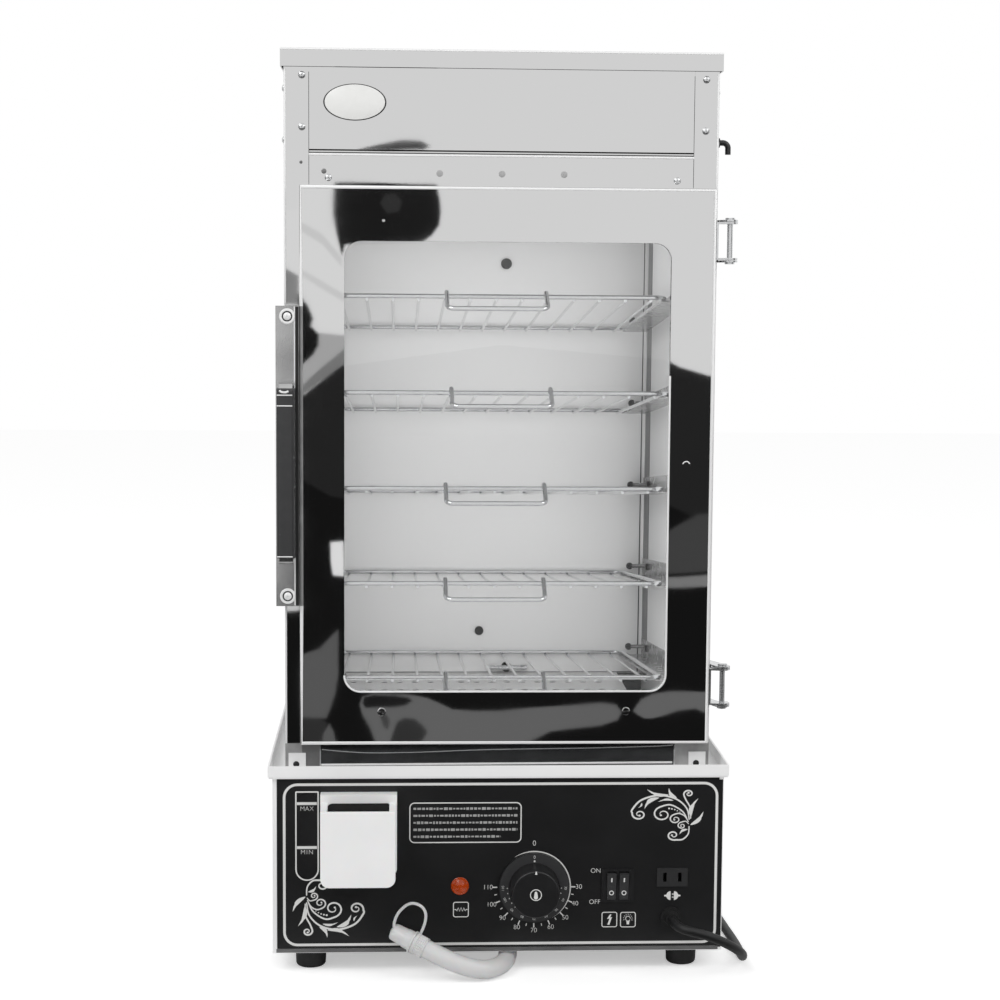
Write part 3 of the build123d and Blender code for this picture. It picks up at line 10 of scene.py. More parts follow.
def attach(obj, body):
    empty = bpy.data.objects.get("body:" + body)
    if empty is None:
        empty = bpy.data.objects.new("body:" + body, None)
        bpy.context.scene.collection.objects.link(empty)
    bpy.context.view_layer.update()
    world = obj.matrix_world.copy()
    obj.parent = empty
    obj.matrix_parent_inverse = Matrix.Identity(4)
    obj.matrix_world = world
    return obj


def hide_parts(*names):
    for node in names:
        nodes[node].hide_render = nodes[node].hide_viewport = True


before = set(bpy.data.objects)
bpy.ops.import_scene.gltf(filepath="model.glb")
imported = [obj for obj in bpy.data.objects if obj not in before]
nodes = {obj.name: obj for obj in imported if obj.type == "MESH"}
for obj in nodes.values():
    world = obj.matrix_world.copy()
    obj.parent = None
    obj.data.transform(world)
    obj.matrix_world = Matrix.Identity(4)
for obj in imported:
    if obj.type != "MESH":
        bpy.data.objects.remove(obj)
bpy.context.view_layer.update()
mm = 0.001
print("stage: frame loaded,", len(nodes), "nodes")


def hexToLinear(code):
    channels = [int(code[i:i + 2], 16) / 255 for i in (1, 3, 5)]
    return [c / 12.92 if c < 0.04045 else ((c + 0.055) / 1.055) ** 2.4 for c in channels] + [1.0]


def addNode(tree, kind, settings=None, links=None, **attributes):
    node = tree.nodes.new(kind)
    for key, value in attributes.items():
        setattr(node, key, value)
    for key, value in (settings or {}).items():
        node.inputs[key].default_value = value
    for key, source in (links or {}).items():
        tree.links.new(source, node.inputs[key])
    return node


# Camera at the photograph's viewing angle: place and lens in mm, turns in degrees
shot = {"place": (-85.3, -1890.3, 568.7), "yaw": 2.81, "pitch": 5.54, "roll": 0.41, "focal": 74.9}
yaw, pitch, roll = (math.radians(shot[key]) for key in ("yaw", "pitch", "roll"))
ahead = Vector((math.sin(yaw) * math.cos(pitch), math.cos(yaw) * math.cos(pitch), -math.sin(pitch)))
level = Vector((math.cos(yaw), -math.sin(yaw), 0))
below = ahead.cross(level)
across = level * math.cos(roll) - below * math.sin(roll)
down = level * math.sin(roll) + below * math.cos(roll)
camera = bpy.data.objects.new("camera", bpy.data.cameras.new("camera"))
camera.data.lens = shot["focal"]
camera.data.sensor_width = 36
camera.data.clip_end = 60
camera.matrix_world = Matrix((across, -down, -ahead)).transposed().to_4x4()
camera.location = Vector(shot["place"]) * mm
bpy.context.scene.collection.objects.link(camera)
bpy.context.scene.camera = camera

# Finishes. Each starts from its usual metallic and roughness, then is matched to the object.
# blotch: second colour and size of the clouds. smear: added roughness and size. swim: height and length of
# the sheet's waves. grain: size and depth. All sizes in mm
finishes = {
    # 304 sheet polished to a mirror: sharp reflections that swim where the thin sheet is not flat
    "mirrorSteel": {"colour": "#cfcfcf", "metallic": 1, "roughness": 0.02, "smear": (0.02, 40),
                    "swim": (0.3, 110), "grain": (0.7, 0.0004)},
    # The same sheet left satin: soft streaks along the mill's rolling
    "satinSteel": {"colour": "#b9babb", "metallic": 1, "roughness": 0.3, "smear": (0.12, 30),
                   "grain": (0.6, 0.004), "stretch": (0.04, 1, 1)},
    # Liner sheet, dulled by steam to an even pale grey
    "linerSteel": {"colour": "#d6d6d6", "metallic": 0.2, "roughness": 0.4, "smear": (0.1, 60),
                   "swim": (0.25, 120), "grain": (0.6, 0.002)},
    # Shelf rails, the liner's sheet: half shiny, a darker grey than the liner with darker patches, painted for the
    # shade along the rails
    "railSteel": {"colour": "#b8b8b8", "blotch": ("#8a8a8a", 14), "metallic": 0.7, "roughness": 0.2,
                  "smear": (0.1, 9), "grain": (0.6, 0.003)},
    # The tray's hem, brushed and bright under the lamps
    "traySteel": {"colour": "#f8f8f8", "metallic": 0.1, "roughness": 0.46, "smear": (0.1, 40),
                  "grain": (0.5, 0.003), "stretch": (0.05, 1, 1)},
    # Shadowed corner of the liner, where the fold mirrors the dark door frame
    "cornerSteel": {"colour": "#121213", "blotch": ("#4a4b4b", 70), "metallic": 0.5, "roughness": 0.3,
                    "grain": (0.6, 0.002)},
    # The handle's channel, handled to a duller shine
    "channelSteel": {"colour": "#c6c6c6", "blotch": ("#a2a2a2", 34), "metallic": 0.9, "roughness": 0.1,
                     "smear": (0.06, 14), "swim": (0.4, 50), "grain": (0.6, 0.002),
                     "stretch": (1, 1, 0.05)},
    # Pale satin sheet with darker clouds: painted light on the outer feet of the posts, a dimmer painted highlight
    # on the door's fold beside the handle, and the bottom plate
    "stainedSteel": {"colour": "#c4c4c4", "blotch": ("#6c6c6c", 16), "metallic": 0.4, "roughness": 0.4,
                     "smear": (0.1, 5), "grain": (0.6, 0.004), "stretch": (1, 1, 0.2)},
    # Mid grey sheet with darker clouds, darker than the steel it stands for: painted shade on the base shell's
    # folded foot and the inner feet of the posts; also the fascia's rivets
    "footSteel": {"colour": "#9a9a9a", "blotch": ("#4c4c4c", 30), "metallic": 0.6, "roughness": 0.35,
                  "grain": (0.6, 0.003)},
    # Pressed plugs, zinc-plated, gone dull and even
    "dullZinc": {"colour": "#b4b4b4", "blotch": ("#a4a4a4", 6), "metallic": 0.2, "roughness": 0.55,
                 "grain": (0.4, 0.003)},
    # Near-white matt sheet for painted highlights: bright lines on folded edges and seams, bright clips and screws
    "highlightSteel": {"colour": "#f4f4f4", "metallic": 0.25, "roughness": 0.45, "smear": (0.1, 20),
                  "grain": (0.4, 0.002)},
    # The sill: mirror steel painted dark grey with lighter clouds, a painted reflection of the dark room
    "sillSteel": {"colour": "#454647", "blotch": ("#626364", 26), "metallic": 1, "roughness": 0.16,
                  "smear": (0.1, 20), "swim": (0.4, 60), "grain": (0.6, 0.003)},
    # Drawn wire, bright plated, with weld smoke at the joints
    "wireChrome": {"colour": "#d6d7d8", "metallic": 1, "roughness": 0.08, "smear": (0.08, 12),
                   "grain": (0.4, 0.002)},
    # Zinc-plated screws and hinge plates: bright, a little smoky where fingers held them
    "zincSteel": {"colour": "#d2d3d4", "metallic": 0.9, "roughness": 0.2, "smear": (0.12, 6),
                  "grain": (0.4, 0.003)},
    # Stove enamel on the panel: satin, with a fine orange peel
    "blackEnamel": {"colour": "#141415", "blotch": ("#19191a", 1.6), "roughness": 0.42, "smear": (0.08, 30),
                    "grain": (0.9, 0.012)},
    # Screen-printed white ink: flat and matt beside the satin enamel
    "whiteInk": {"colour": "#e4e4e2", "blotch": ("#d6d6d4", 1.2), "roughness": 0.55, "grain": (0.5, 0.004)},
    # The same ink laid thin, so that the enamel greys it
    "greyInk": {"colour": "#b4b4b3", "blotch": ("#8c8c8b", 1.5), "roughness": 0.6, "grain": (0.5, 0.004)},
    # Moulded ABS, smooth from its tool: dial, bezels, elbow and knobs with a soft highlight
    "blackAbs": {"colour": "#1b1b1c", "blotch": ("#212122", 4), "roughness": 0.36, "smear": (0.08, 15),
                 "grain": (0.5, 0.006)},
    # The same ABS with a spark-eroded surface, a shade lighter: rockers, the dial's skirt
    "satinAbs": {"colour": "#303031", "blotch": ("#363637", 3), "roughness": 0.5, "grain": (0.4, 0.012)},
    # And matt, for the socket, whose face shows no highlight
    "mattAbs": {"colour": "#262627", "blotch": ("#2b2b2c", 3), "roughness": 0.55, "grain": (0.4, 0.012)},
    # Phenolic grip, polished in its mould: deep grey with a sharp highlight
    "glossPhenolic": {"colour": "#3a3a3b", "blotch": ("#303031", 8), "roughness": 0.2, "smear": (0.08, 12),
                      "grain": (0.7, 0.004)},
    # Rubber feet, gland, gaskets: matt, slightly dusty
    "blackRubber": {"colour": "#0f0f0f", "blotch": ("#181818", 5), "roughness": 0.62,
                    "grain": (0.5, 0.015)},
    # Extruded PVC cord sheath: nearly black, with a soft sheen
    "cordPvc": {"colour": "#0e0e0f", "blotch": ("#131314", 10), "roughness": 0.55, "grain": (0.6, 0.006)},
    # Polypropylene hopper and float: milky, faintly waxy
    "whitePolypropylene": {"colour": "#f7f7f7", "blotch": ("#f0f0f0", 25), "roughness": 0.42,
                           "grain": (0.8, 0.005), "subsurface": 0.12},
    # Smoked acrylic over the level tube: nearly black, with no colour of its own
    "smokedAcrylic": {"colour": "#161617", "blotch": ("#1b1b1c", 12), "roughness": 0.4,
                      "grain": (0.8, 0.001)},
    # Moulded polycarbonate lens: orange that glows where its facets turn to the light
    "amberPolycarbonate": {"colour": "#cf4d10", "blotch": ("#a83a08", 5), "roughness": 0.14,
                           "grain": (0.8, 0.001), "transmission": 0.25},
    # Soda-lime float glass, hardened: clear, seen only by its reflections
    "windowGlass": {"colour": "#ffffff", "roughness": 0.0, "transmission": 1, "clearShadow": True},
    # Extruded vinyl hose without braid, clouded by hot water
    "cloudedVinyl": {"colour": "#f3f3f3", "blotch": ("#e6e6e6", 14), "roughness": 0.32, "smear": (0.1, 9),
                     "grain": (0.7, 0.008), "transmission": 0.2, "subsurface": 0.15},
    # Natural polyethylene cap and sleeve: milky, light glows through the edges
    "milkyPolyethylene": {"colour": "#fafafa", "blotch": ("#efefef", 6), "roughness": 0.28,
                          "grain": (0.5, 0.004), "transmission": 0.3, "subsurface": 0.1},
    # Enamelled aluminium plate: warm white with a wet shine
    "plateEnamel": {"colour": "#f0f0ee", "blotch": ("#e7e7e5", 9), "roughness": 0.25,
                    "grain": (0.7, 0.001)},
}
milkDepth = 3  # how far light goes into milky plastic
bumpLift = 3  # the noise fills a third of its range


def makeFinish(name, look):
    material = bpy.data.materials.new(name)
    material.use_nodes = True
    tree = material.node_tree
    shader = tree.nodes["Principled BSDF"]
    place = addNode(tree, "ShaderNodeTexCoord").outputs["Object"]
    shader.inputs["Base Color"].default_value = hexToLinear(look["colour"])
    shader.inputs["Metallic"].default_value = look.get("metallic", 0)
    shader.inputs["Roughness"].default_value = look["roughness"]
    shader.inputs["Transmission Weight"].default_value = look.get("transmission", 0)
    if "subsurface" in look:
        shader.inputs["Subsurface Weight"].default_value = look["subsurface"]
        shader.inputs["Subsurface Scale"].default_value = milkDepth * mm
    if "blotch" in look:  # cloudy change of colour
        secondColour, size = look["blotch"]
        cloud = addNode(tree, "ShaderNodeTexNoise", {"Scale": 1000 / size, "Detail": 4}, {"Vector": place})
        mix = addNode(tree, "ShaderNodeMix", {"A": hexToLinear(look["colour"]), "B": hexToLinear(secondColour)},
                      {"Factor": cloud.outputs["Fac"]}, data_type="RGBA")
        tree.links.new(mix.outputs[2], shader.inputs["Base Color"])
    if "smear" in look:  # wiped and handled patches
        added, size = look["smear"]
        cloud = addNode(tree, "ShaderNodeTexNoise", {"Scale": 1000 / size, "Detail": 5}, {"Vector": place})
        spread = addNode(tree, "ShaderNodeMapRange", {
            "From Min": 0.35, "From Max": 0.7, "To Min": look["roughness"],
            "To Max": look["roughness"] + added}, {"Value": cloud.outputs["Fac"]})
        tree.links.new(spread.outputs["Result"], shader.inputs["Roughness"])
    bump = None
    if "grain" in look:
        size, depth = look["grain"]
        stretched = addNode(tree, "ShaderNodeMapping", {"Scale": look.get("stretch", (1, 1, 1))},
                            {"Vector": place})
        grain = addNode(tree, "ShaderNodeTexNoise", {"Scale": 1000 / size, "Detail": 3},
                        {"Vector": stretched.outputs["Vector"]})
        bump = addNode(tree, "ShaderNodeBump", {"Distance": depth * mm * bumpLift},
                       {"Height": grain.outputs["Fac"]})
    if "swim" in look:
        height, size = look["swim"]
        wave = addNode(tree, "ShaderNodeTexNoise", {"Scale": 1000 / size, "Detail": 1.5, "Roughness": 0.35},
                       {"Vector": place})
        soft = addNode(tree, "ShaderNodeBump", {"Distance": height * mm}, {"Height": wave.outputs["Fac"]})
        if bump:
            tree.links.new(bump.outputs["Normal"], soft.inputs["Normal"])
        bump = soft
    if bump:
        tree.links.new(bump.outputs["Normal"], shader.inputs["Normal"])
    if look.get("clearShadow"):  # light passes a thin pane
        clear = addNode(tree, "ShaderNodeBsdfTransparent", {"Color": (0.97, 0.98, 0.98, 1)})
        path = addNode(tree, "ShaderNodeLightPath")
        either = addNode(tree, "ShaderNodeMath", None, {0: path.outputs["Is Shadow Ray"],
                                                        1: path.outputs["Is Diffuse Ray"]},
                         operation="MAXIMUM")
        blend = addNode(tree, "ShaderNodeMixShader", None, {0: either.outputs[0], 1: shader.outputs[0],
                                                            2: clear.outputs[0]})
        tree.links.new(blend.outputs[0], tree.nodes["Material Output"].inputs["Surface"])
    return material


finish = {name: makeFinish(name, look) for name, look in finishes.items()}

nodeFinish = {
    "mirrorSteel": ["corner_posts", "outer_panels", "top_cover", "upper_fascia", "door_header", "door_skin",
                    "door_inner_frame"],
    "channelSteel": ["handle_channel"],
    "highlightSteel": ["corner_clips"],
    "stainedSteel": ["bottom_plate"],
    "traySteel": ["drip_tray", "base_shell"],
    "sillSteel": ["sills"],
    "satinSteel": ["water_tank", "heating_element", "float_stem", "drain_elbow", "thermostat_body"],
    "linerSteel": ["inner_liner", "steam_plate", "ceiling_plate"],
    "railSteel": ["shelf_rails"],
    "wireChrome": ["shelf_1", "shelf_2", "shelf_3", "shelf_4", "shelf_5"],
    "zincSteel": ["cabinet_screws", "thermostat_probe", "hinge_brackets", "hinge_pins", "door_lugs",
                  "handle_screws"],
    "blackEnamel": ["control_panel"],
    "blackAbs": ["thermostat_knob", "switch_housing", "lamp_holder", "vent_elbow", "rail_knobs"],
    "satinAbs": ["rocker_power", "rocker_lamp"],
    "mattAbs": ["socket_outlet"],
    "glossPhenolic": ["handle_grip"],
    "blackRubber": ["feet", "cord_gland", "wall_fittings", "glass_gasket", "door_seal"],
    "cordPvc": ["power_cord", "cord_coil", "plug"],
    "whitePolypropylene": ["filler_hopper", "float_ball"],
    "smokedAcrylic": ["level_window"],
    "amberPolycarbonate": ["indicator_lamp"],
    "windowGlass": ["door_glass", "lamp_cover"],
    "cloudedVinyl": ["drain_hose"],
    "milkyPolyethylene": ["hose_sleeve", "hose_cap"],
}
for name, members in nodeFinish.items():
    for member in members:
        for slot in nodes[member].material_slots:
            slot.material = finish[name]
print("stage: finishes on", sum(len(members) for members in nodeFinish.values()), "nodes")

towardViewer = (0, -1, 0)
foldHeight = 0.6  # a folded edge stands this share of its radius proud


def linkPiece(name, data, finishName, body):
    piece = bpy.data.objects.new(name, data)
    bpy.context.scene.collection.objects.link(piece)
    data.materials.append(finish[finishName])
    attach(piece, body)
    return piece


def meshPiece(name, shape, finishName, body="cabinet", smooth=35):
    # smooth is the angle in degrees up to which faces blend, 0 for flat ones
    data = bpy.data.meshes.new(name)
    bmesh.ops.remove_doubles(shape, verts=shape.verts, dist=1e-7)
    bmesh.ops.recalc_face_normals(shape, faces=shape.faces)
    shape.to_mesh(data)
    shape.free()
    if smooth:
        data.polygons.foreach_set("use_smooth", [True] * len(data.polygons))
        data.set_sharp_from_angle(angle=math.radians(smooth))
    return linkPiece(name, data, finishName, body)


def curvePiece(name, points, radius, finishName):
    data = bpy.data.curves.new(name, "CURVE")
    data.dimensions = "3D"
    data.bevel_depth = radius * mm
    data.bevel_resolution = 5
    data.resolution_u = 8
    data.use_fill_caps = True
    spline = data.splines.new("NURBS")
    spline.points.add(len(points) - 1)
    for point, place in zip(spline.points, points):
        point.co = (*(Vector(place) * mm), 1)
    spline.order_u = 3
    spline.use_endpoint_u = True
    return linkPiece(name, data, finishName, "cabinet")


def skinRings(shape, rings, closed=False):
    # faces between neighbouring rings of corners; an open run gets both its ends filled
    loops = [[shape.verts.new(Vector(corner) * mm) for corner in ring] for ring in rings]
    for one, two in zip(loops, loops[1:] + (loops[:1] if closed else [])):
        for i in range(len(one)):
            j = (i + 1) % len(one)
            shape.faces.new((one[i], one[j], two[j], two[i]))
    if not closed:
        shape.faces.new(loops[0])
        shape.faces.new(loops[-1])


def flatSheet(shape, outline, front, rear):
    # a sheet with an outline (x, z) between two depths
    skinRings(shape, [[(x, y, z) for x, z in outline] for y in (front, rear)])


def rectangle(left, right, low, high):
    return [(left, low), (right, low), (right, high), (left, high)]


def frameAlong(direction):
    forward = Vector(direction).normalized()
    side = forward.cross(Vector((0, 0, 1)))
    if side.length < 0.01:
        side = Vector((1, 0, 0))
    side.normalize()
    return side, forward.cross(side), forward


def lathe(shape, place, profile, segments, direction=towardViewer, ripple=None):
    # profile is (distance along, radius); ripple gives a share of the radius at an angle
    side, up, forward = frameAlong(direction)
    rings = []
    for along, radius in profile:
        ring = []
        for count in range(segments):
            angle = math.tau * count / segments
            reach = radius * (ripple(angle, along) if ripple else 1)
            ring.append(Vector(place) + forward * along + (side * math.cos(angle) + up * math.sin(angle)) * reach)
        rings.append(ring)
    skinRings(shape, rings)


def turnedPiece(name, places, profile, segments, finishName, body="cabinet", smooth=35):
    # one turned form at several places, its axis toward the viewer
    shape = bmesh.new()
    for place in places:
        lathe(shape, place, profile, segments)
    return meshPiece(name, shape, finishName, body, smooth)


def tangents(points, closed=False):
    # the way a line of points (x, z) runs at each of them
    ways = []
    for i in range(len(points)):
        before = points[i - 1] if i or closed else points[0]
        after = points[(i + 1) % len(points)] if i < len(points) - 1 or closed else points[-1]
        along = Vector((after[0] - before[0], after[1] - before[1]))
        ways.append(along.normalized() if along.length else Vector((1, 0)))
    return ways


def hem(shape, points, face, radius):
    # rounded fold that stands on a face and follows points (x, z)
    rings = []
    for (x, z), along in zip(points, tangents(points)):
        turns = [math.pi * k / 8 for k in range(9)]
        rings.append([(x + along.y * radius * math.cos(turn), face - radius * foldHeight * math.sin(turn),
                       z - along.x * radius * math.cos(turn)) for turn in turns])
    skinRings(shape, rings)


def hemPiece(name, runs, finishName, body="cabinet", smooth=80):
    # runs: points, face and radius of each fold
    shape = bmesh.new()
    for run in runs:
        hem(shape, *run)
    return meshPiece(name, shape, finishName, body, smooth)


def arcPoints(cx, cz, radius, start, end, steps=24):
    angles = [math.radians(start + (end - start) * i / steps) for i in range(steps + 1)]
    return [(cx + radius * math.cos(a), cz + radius * math.sin(a)) for a in angles]


def roundedBox(left, right, bottom, top, radii):
    # corners in the order top right, top left, bottom left, bottom right
    corners = [(right, top, -1, -1, 0), (left, top, 1, -1, 90), (left, bottom, 1, 1, 180),
               (right, bottom, -1, 1, 270)]
    points = []
    for (x, z, sx, sz, start), radius in zip(corners, radii):
        points += arcPoints(x + sx * radius, z + sz * radius, radius, start, start + 90, 8)
    return points


def smoothLine(points, share=8):
    # a curve through all the points
    ends = [points[0]] + points + [points[-1]]
    line = []
    for a, b, c, d in zip(ends, ends[1:], ends[2:], ends[3:]):
        for i in range(share):
            s = i / share
            line.append(tuple(0.5 * (2 * b[k] + (c[k] - a[k]) * s +
                                     (2 * a[k] - 5 * b[k] + 4 * c[k] - d[k]) * s * s +
                                     (3 * b[k] - a[k] - 3 * c[k] + d[k]) * s ** 3) for k in (0, 1)))
    return line + [points[-1]]


# Mains cord: the route's points, then the coil's half turns, then the tail to the plug
mains = {"radius": 4.0, "lift": 4.2, "layer": 8.6, "coil": (160.0, 277.0), "coilRadius": 50.0, "climb": 4,
         "tail": 46.0, "length": 1726.0, "exit": (146.8, -185.0, 46.6), "turnAngles": [15, 45, 75, 105, 135, 165]}
cordRoute = [mains["exit"], (146.8, -207.0, 46.6), (178.0, -208.0, 39.6), (204.0, -201.0, 24.0),
             (211.0, -163.0, 6.2), (212.5, -113.0, 4.2), (209.0, -51.0, 4.2), (207.0, 13.0, 4.2),
             (207.6, 79.0, 4.2), (210.0, 145.0, 4.2), (208.0, 205.0, 4.2), (210.0, 238.0, 4.2),
             (210.0, 262.0, 4.2)]
coilX, coilY = mains["coil"]
turnX = coilX + mains["coilRadius"]
turnZ = mains["lift"]
outside = 1 / math.cos(math.radians(15))  # the curve cuts its corners, so its points lie further out
for count in range(2 * mains["climb"]):
    inward = mains["climb"] - abs(mains["climb"] - count)
    radius = mains["coilRadius"] - inward * mains["layer"] / 2
    way = 1 if count % 2 == 0 else -1
    centre = turnX - way * radius
    for angle in mains["turnAngles"]:
        rise = mains["layer"] * angle / 180 if count == mains["climb"] else 0
        cordRoute.append((centre + way * outside * radius * math.cos(math.radians(angle)),
                          coilY + way * outside * radius * math.sin(math.radians(angle)), turnZ + rise))
    turnZ += mains["layer"] if count == mains["climb"] else 0
    turnX = centre - way * radius
for angle in mains["turnAngles"][:3]:
    reach = outside * mains["coilRadius"]
    cordRoute.append((coilX + reach * math.cos(math.radians(angle)),
                      coilY + reach * math.sin(math.radians(angle)), turnZ))
tailY = coilY + mains["coilRadius"]
cordRoute += [(coilX - mains["tail"] / 2, tailY, turnZ), (coilX - mains["tail"], tailY, turnZ)]
mainsCord = curvePiece("mainsCord", cordRoute, mains["radius"], "cordPvc")
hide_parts("power_cord", "cord_coil")

# Drain hose: out from under the base, round to the left, up to its sleeve, cap and the cap's tether
hose = {"radius": 7.9, "length": 118.0,
        "route": [(9.9, -139.0, 8.4), (9.9, -180.0, 8.4), (-24.0, -207.0, 9.6), (-62.0, -194.0, 27.0)],
        "tetherRadius": 1.25, "tether": [(-66.0, -189.0, 38.0), (-61.5, -190.0, 47.0), (-61.5, -191.0, 60.5),
                                         (-73.5, -190.5, 66.5), (-84.0, -189.0, 58.0), (-88.5, -188.0, 47.5),
                                         (-88.0, -188.0, 43.5)]}
# profiles: distance along the hose and radius
sleeve = {"length": 11.0, "overlap": 0.3, "ribs": 26, "ribShare": 0.035, "ribSpan": (1.5, 8.2),
          "profile": [(0, 8.0), (0, 8.7), (1.4, 8.8), (1.6, 8.5), (3, 8.5), (5, 8.5), (7, 8.5), (8.1, 8.5),
                      (8.3, 9.3), (10.6, 9.3), (11.2, 8.7)]}
capProfile = [(0, 8.2), (0, 9.6), (1.6, 9.6), (2.0, 8.4), (8, 8.2), (8.2, 7.8), (17.6, 7.3), (19.6, 6.9),
              (20.6, 6.0), (20.8, 5.2), (20.0, 4.8), (20.0, 3.4), (21.2, 3.1), (21.8, 2.0)]
drainHose = curvePiece("drainHose", hose["route"], hose["radius"], "cloudedVinyl")
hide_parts("drain_hose")
hoseEnd = Vector(hose["route"][-1])
hoseWay = (hoseEnd - Vector(hose["route"][-2])).normalized()


def sleeveRibs(angle, along):
    low, high = sleeve["ribSpan"]
    return 1 + (sleeve["ribShare"] * math.sin(angle * sleeve["ribs"]) if low < along < high else 0)


shape = bmesh.new()
lathe(shape, hoseEnd - hoseWay * sleeve["overlap"], sleeve["profile"], 6 * sleeve["ribs"], hoseWay, sleeveRibs)
hoseSleeve = meshPiece("hoseSleeve", shape, "milkyPolyethylene")
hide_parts("hose_sleeve")
shape = bmesh.new()
lathe(shape, hoseEnd + hoseWay * sleeve["length"], capProfile, 64, hoseWay)
hoseCap = meshPiece("hoseCap", shape, "milkyPolyethylene")
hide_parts("hose_cap")
tether = curvePiece("capTether", hose["tether"], hose["tetherRadius"], "milkyPolyethylene")
print("stage: cord and hose laid")

# White printing on the panel, just proud of the enamel; letters are thinned by a share of their size
ink = {"face": -175.0, "proud": 0.08, "thinning": 0.016}


def inkRibbon(shape, points, widths, closed=False, face=ink["face"]):
    # flat band along points (x, z), with one width or a width at each
    rings = []
    for i, ((x, z), along) in enumerate(zip(points, tangents(points, closed))):
        half = (widths[i] if isinstance(widths, list) else widths) / 2
        left, right = (x - along.y * half, z + along.x * half), (x + along.y * half, z - along.x * half)
        front = face - ink["proud"]
        rings.append([(px, y, pz) for (px, pz), y in ((left, front), (right, front), (right, face), (left, face))])
    skinRings(shape, rings, closed)


def inkPatch(shape, outline, face=ink["face"]):
    flatSheet(shape, outline, face - ink["proud"], face)


def inkPiece(name, shape, body="cabinet"):
    return meshPiece(name, shape, "whiteInk", body, smooth=0)


def inkText(name, text, x, z, size, face=ink["face"], body="cabinet", spin=0.0, spacing=1.0):
    data = bpy.data.curves.new(name, "FONT")
    data.body = text
    data.size = size * mm
    data.align_x = "CENTER"
    data.align_y = "CENTER"
    data.extrude = ink["proud"] * mm / 2
    data.offset = -ink["thinning"] * size * mm
    data.space_character = spacing
    lettering = bpy.data.objects.new(name + "Source", data)
    bpy.context.scene.collection.objects.link(lettering)
    bpy.context.view_layer.update()
    solid = bpy.data.meshes.new_from_object(lettering.evaluated_get(bpy.context.evaluated_depsgraph_get()))
    bpy.data.objects.remove(lettering)
    solid.transform(Matrix.Rotation(math.radians(90), 4, "X"))
    solid.transform(Matrix.Rotation(-math.radians(spin), 4, "Y"))
    solid.transform(Matrix.Translation(Vector((x, face - ink["proud"] / 2, z)) * mm))
    return linkPiece(name, solid, "whiteInk", body)


# Frames on the panel: left, right, bottom, top, the corners' radii and the line's width
panel = {
    "frames": [(-180.2, 184.4, 24.9, 162.4, [11] * 4, 2.2),
               (-170.4, -151.8, 80.7, 156.2, [0.6, 0.6, 9.3, 9.3], 1.15),
               (-75.0, 18.6, 112.4, 146.3, [4] * 4, 0.9)],
    "levels": [[(-169.6, z), (-152.9, z)] for z in (146.3, 108.7)], "levelWidth": 2.4,
    # signs: a heater's zigzag, a bolt, a bulb with rays, and a plug in two halves
    "squares": [(-31.7, 54.5), (94.3, 44.9), (110.1, 44.7)], "squareHalf": 6.3, "squareRadii": [1.6] * 4,
    "signWidth": 0.7,
    "zigzag": [(-37.2, 54.5), (-36, 54.5), (-35.2, 53.2), (-34, 56), (-32.8, 53), (-31.6, 56.2), (-30.4, 53),
               (-29.2, 56), (-28.1, 53.4), (-27.2, 54.6), (-26, 54.5)],
    "bolt": [(94.9, 49.5), (92.2, 45.4), (94.4, 45.8), (93.0, 41.5), (92.4, 40.6), (94.4, 40.3), (95.2, 43.2),
             (96.6, 47.0), (94.8, 46.6), (96.0, 49.3)],
    "bulb": (110.1, 45.6), "bulbRadius": 2.0, "bulbWidth": 0.5,
    "bulbFoot": [(108.7, 43.6), (109.2, 40.6), (111.0, 40.6), (111.5, 43.6)],
    "rays": range(-20, 201, 27), "raySpan": (3.1, 4.2), "rayWidth": 0.35,
    "plugs": ((-1, 145.6), (1, 149.6)), "plugHigh": 65.3,
    "prongs": [[(147.3, z), (149.1, z)] for z in (64.0, 66.6)], "prongWidth": 0.8,
    "plug": [(-0.6, 3.8), (0.6, 3.7), (2.2, 2.6), (3.2, 0.8), (4.9, 0.6), (4.9, -0.6), (3.2, -0.8), (2.2, -2.6),
             (0.6, -3.7), (-0.6, -3.8)]}
shape = bmesh.new()
for left, right, bottom, top, radii, width in panel["frames"]:
    inkRibbon(shape, roundedBox(left, right, bottom, top, radii), width, closed=True)
for points in panel["levels"]:
    inkRibbon(shape, points, panel["levelWidth"])
half = panel["squareHalf"]
for x, z in panel["squares"]:
    inkRibbon(shape, roundedBox(x - half, x + half, z - half, z + half, panel["squareRadii"]),
              panel["signWidth"], closed=True)
inkRibbon(shape, panel["zigzag"], panel["signWidth"])
inkPatch(shape, panel["bolt"])
inkRibbon(shape, arcPoints(*panel["bulb"], panel["bulbRadius"], 0, 330, 20), panel["bulbWidth"])
inkPatch(shape, panel["bulbFoot"])
for angle in panel["rays"]:
    ray = Vector((math.cos(math.radians(angle)), math.sin(math.radians(angle))))
    inkRibbon(shape, [tuple(Vector(panel["bulb"]) + ray * reach) for reach in panel["raySpan"]],
              panel["rayWidth"])
for side, x in panel["plugs"]:
    inkPatch(shape, [(x + side * px, panel["plugHigh"] + pz) for px, pz in panel["plug"]])
for points in panel["prongs"]:
    inkRibbon(shape, points, panel["prongWidth"])

# Dial scale: an arc that fades at both ends, long and short ticks, and numbers from 30 to 110
dial = {"x": 30.1, "z": 73.5, "arc": 30.7, "arcSpan": (122, -62), "arcSteps": 90, "fade": 14, "numbers": 37.9,
        "numberSize": 5.7, "step": 22.5, "values": range(30, 111, 10), "ticks": 17,
        "longTick": (31.2, 35.0, 1.0), "shortTick": (32.0, 34.2, 0.7)}


def onDial(reach, angle):
    return dial["x"] + reach * math.cos(angle), dial["z"] + reach * math.sin(angle)


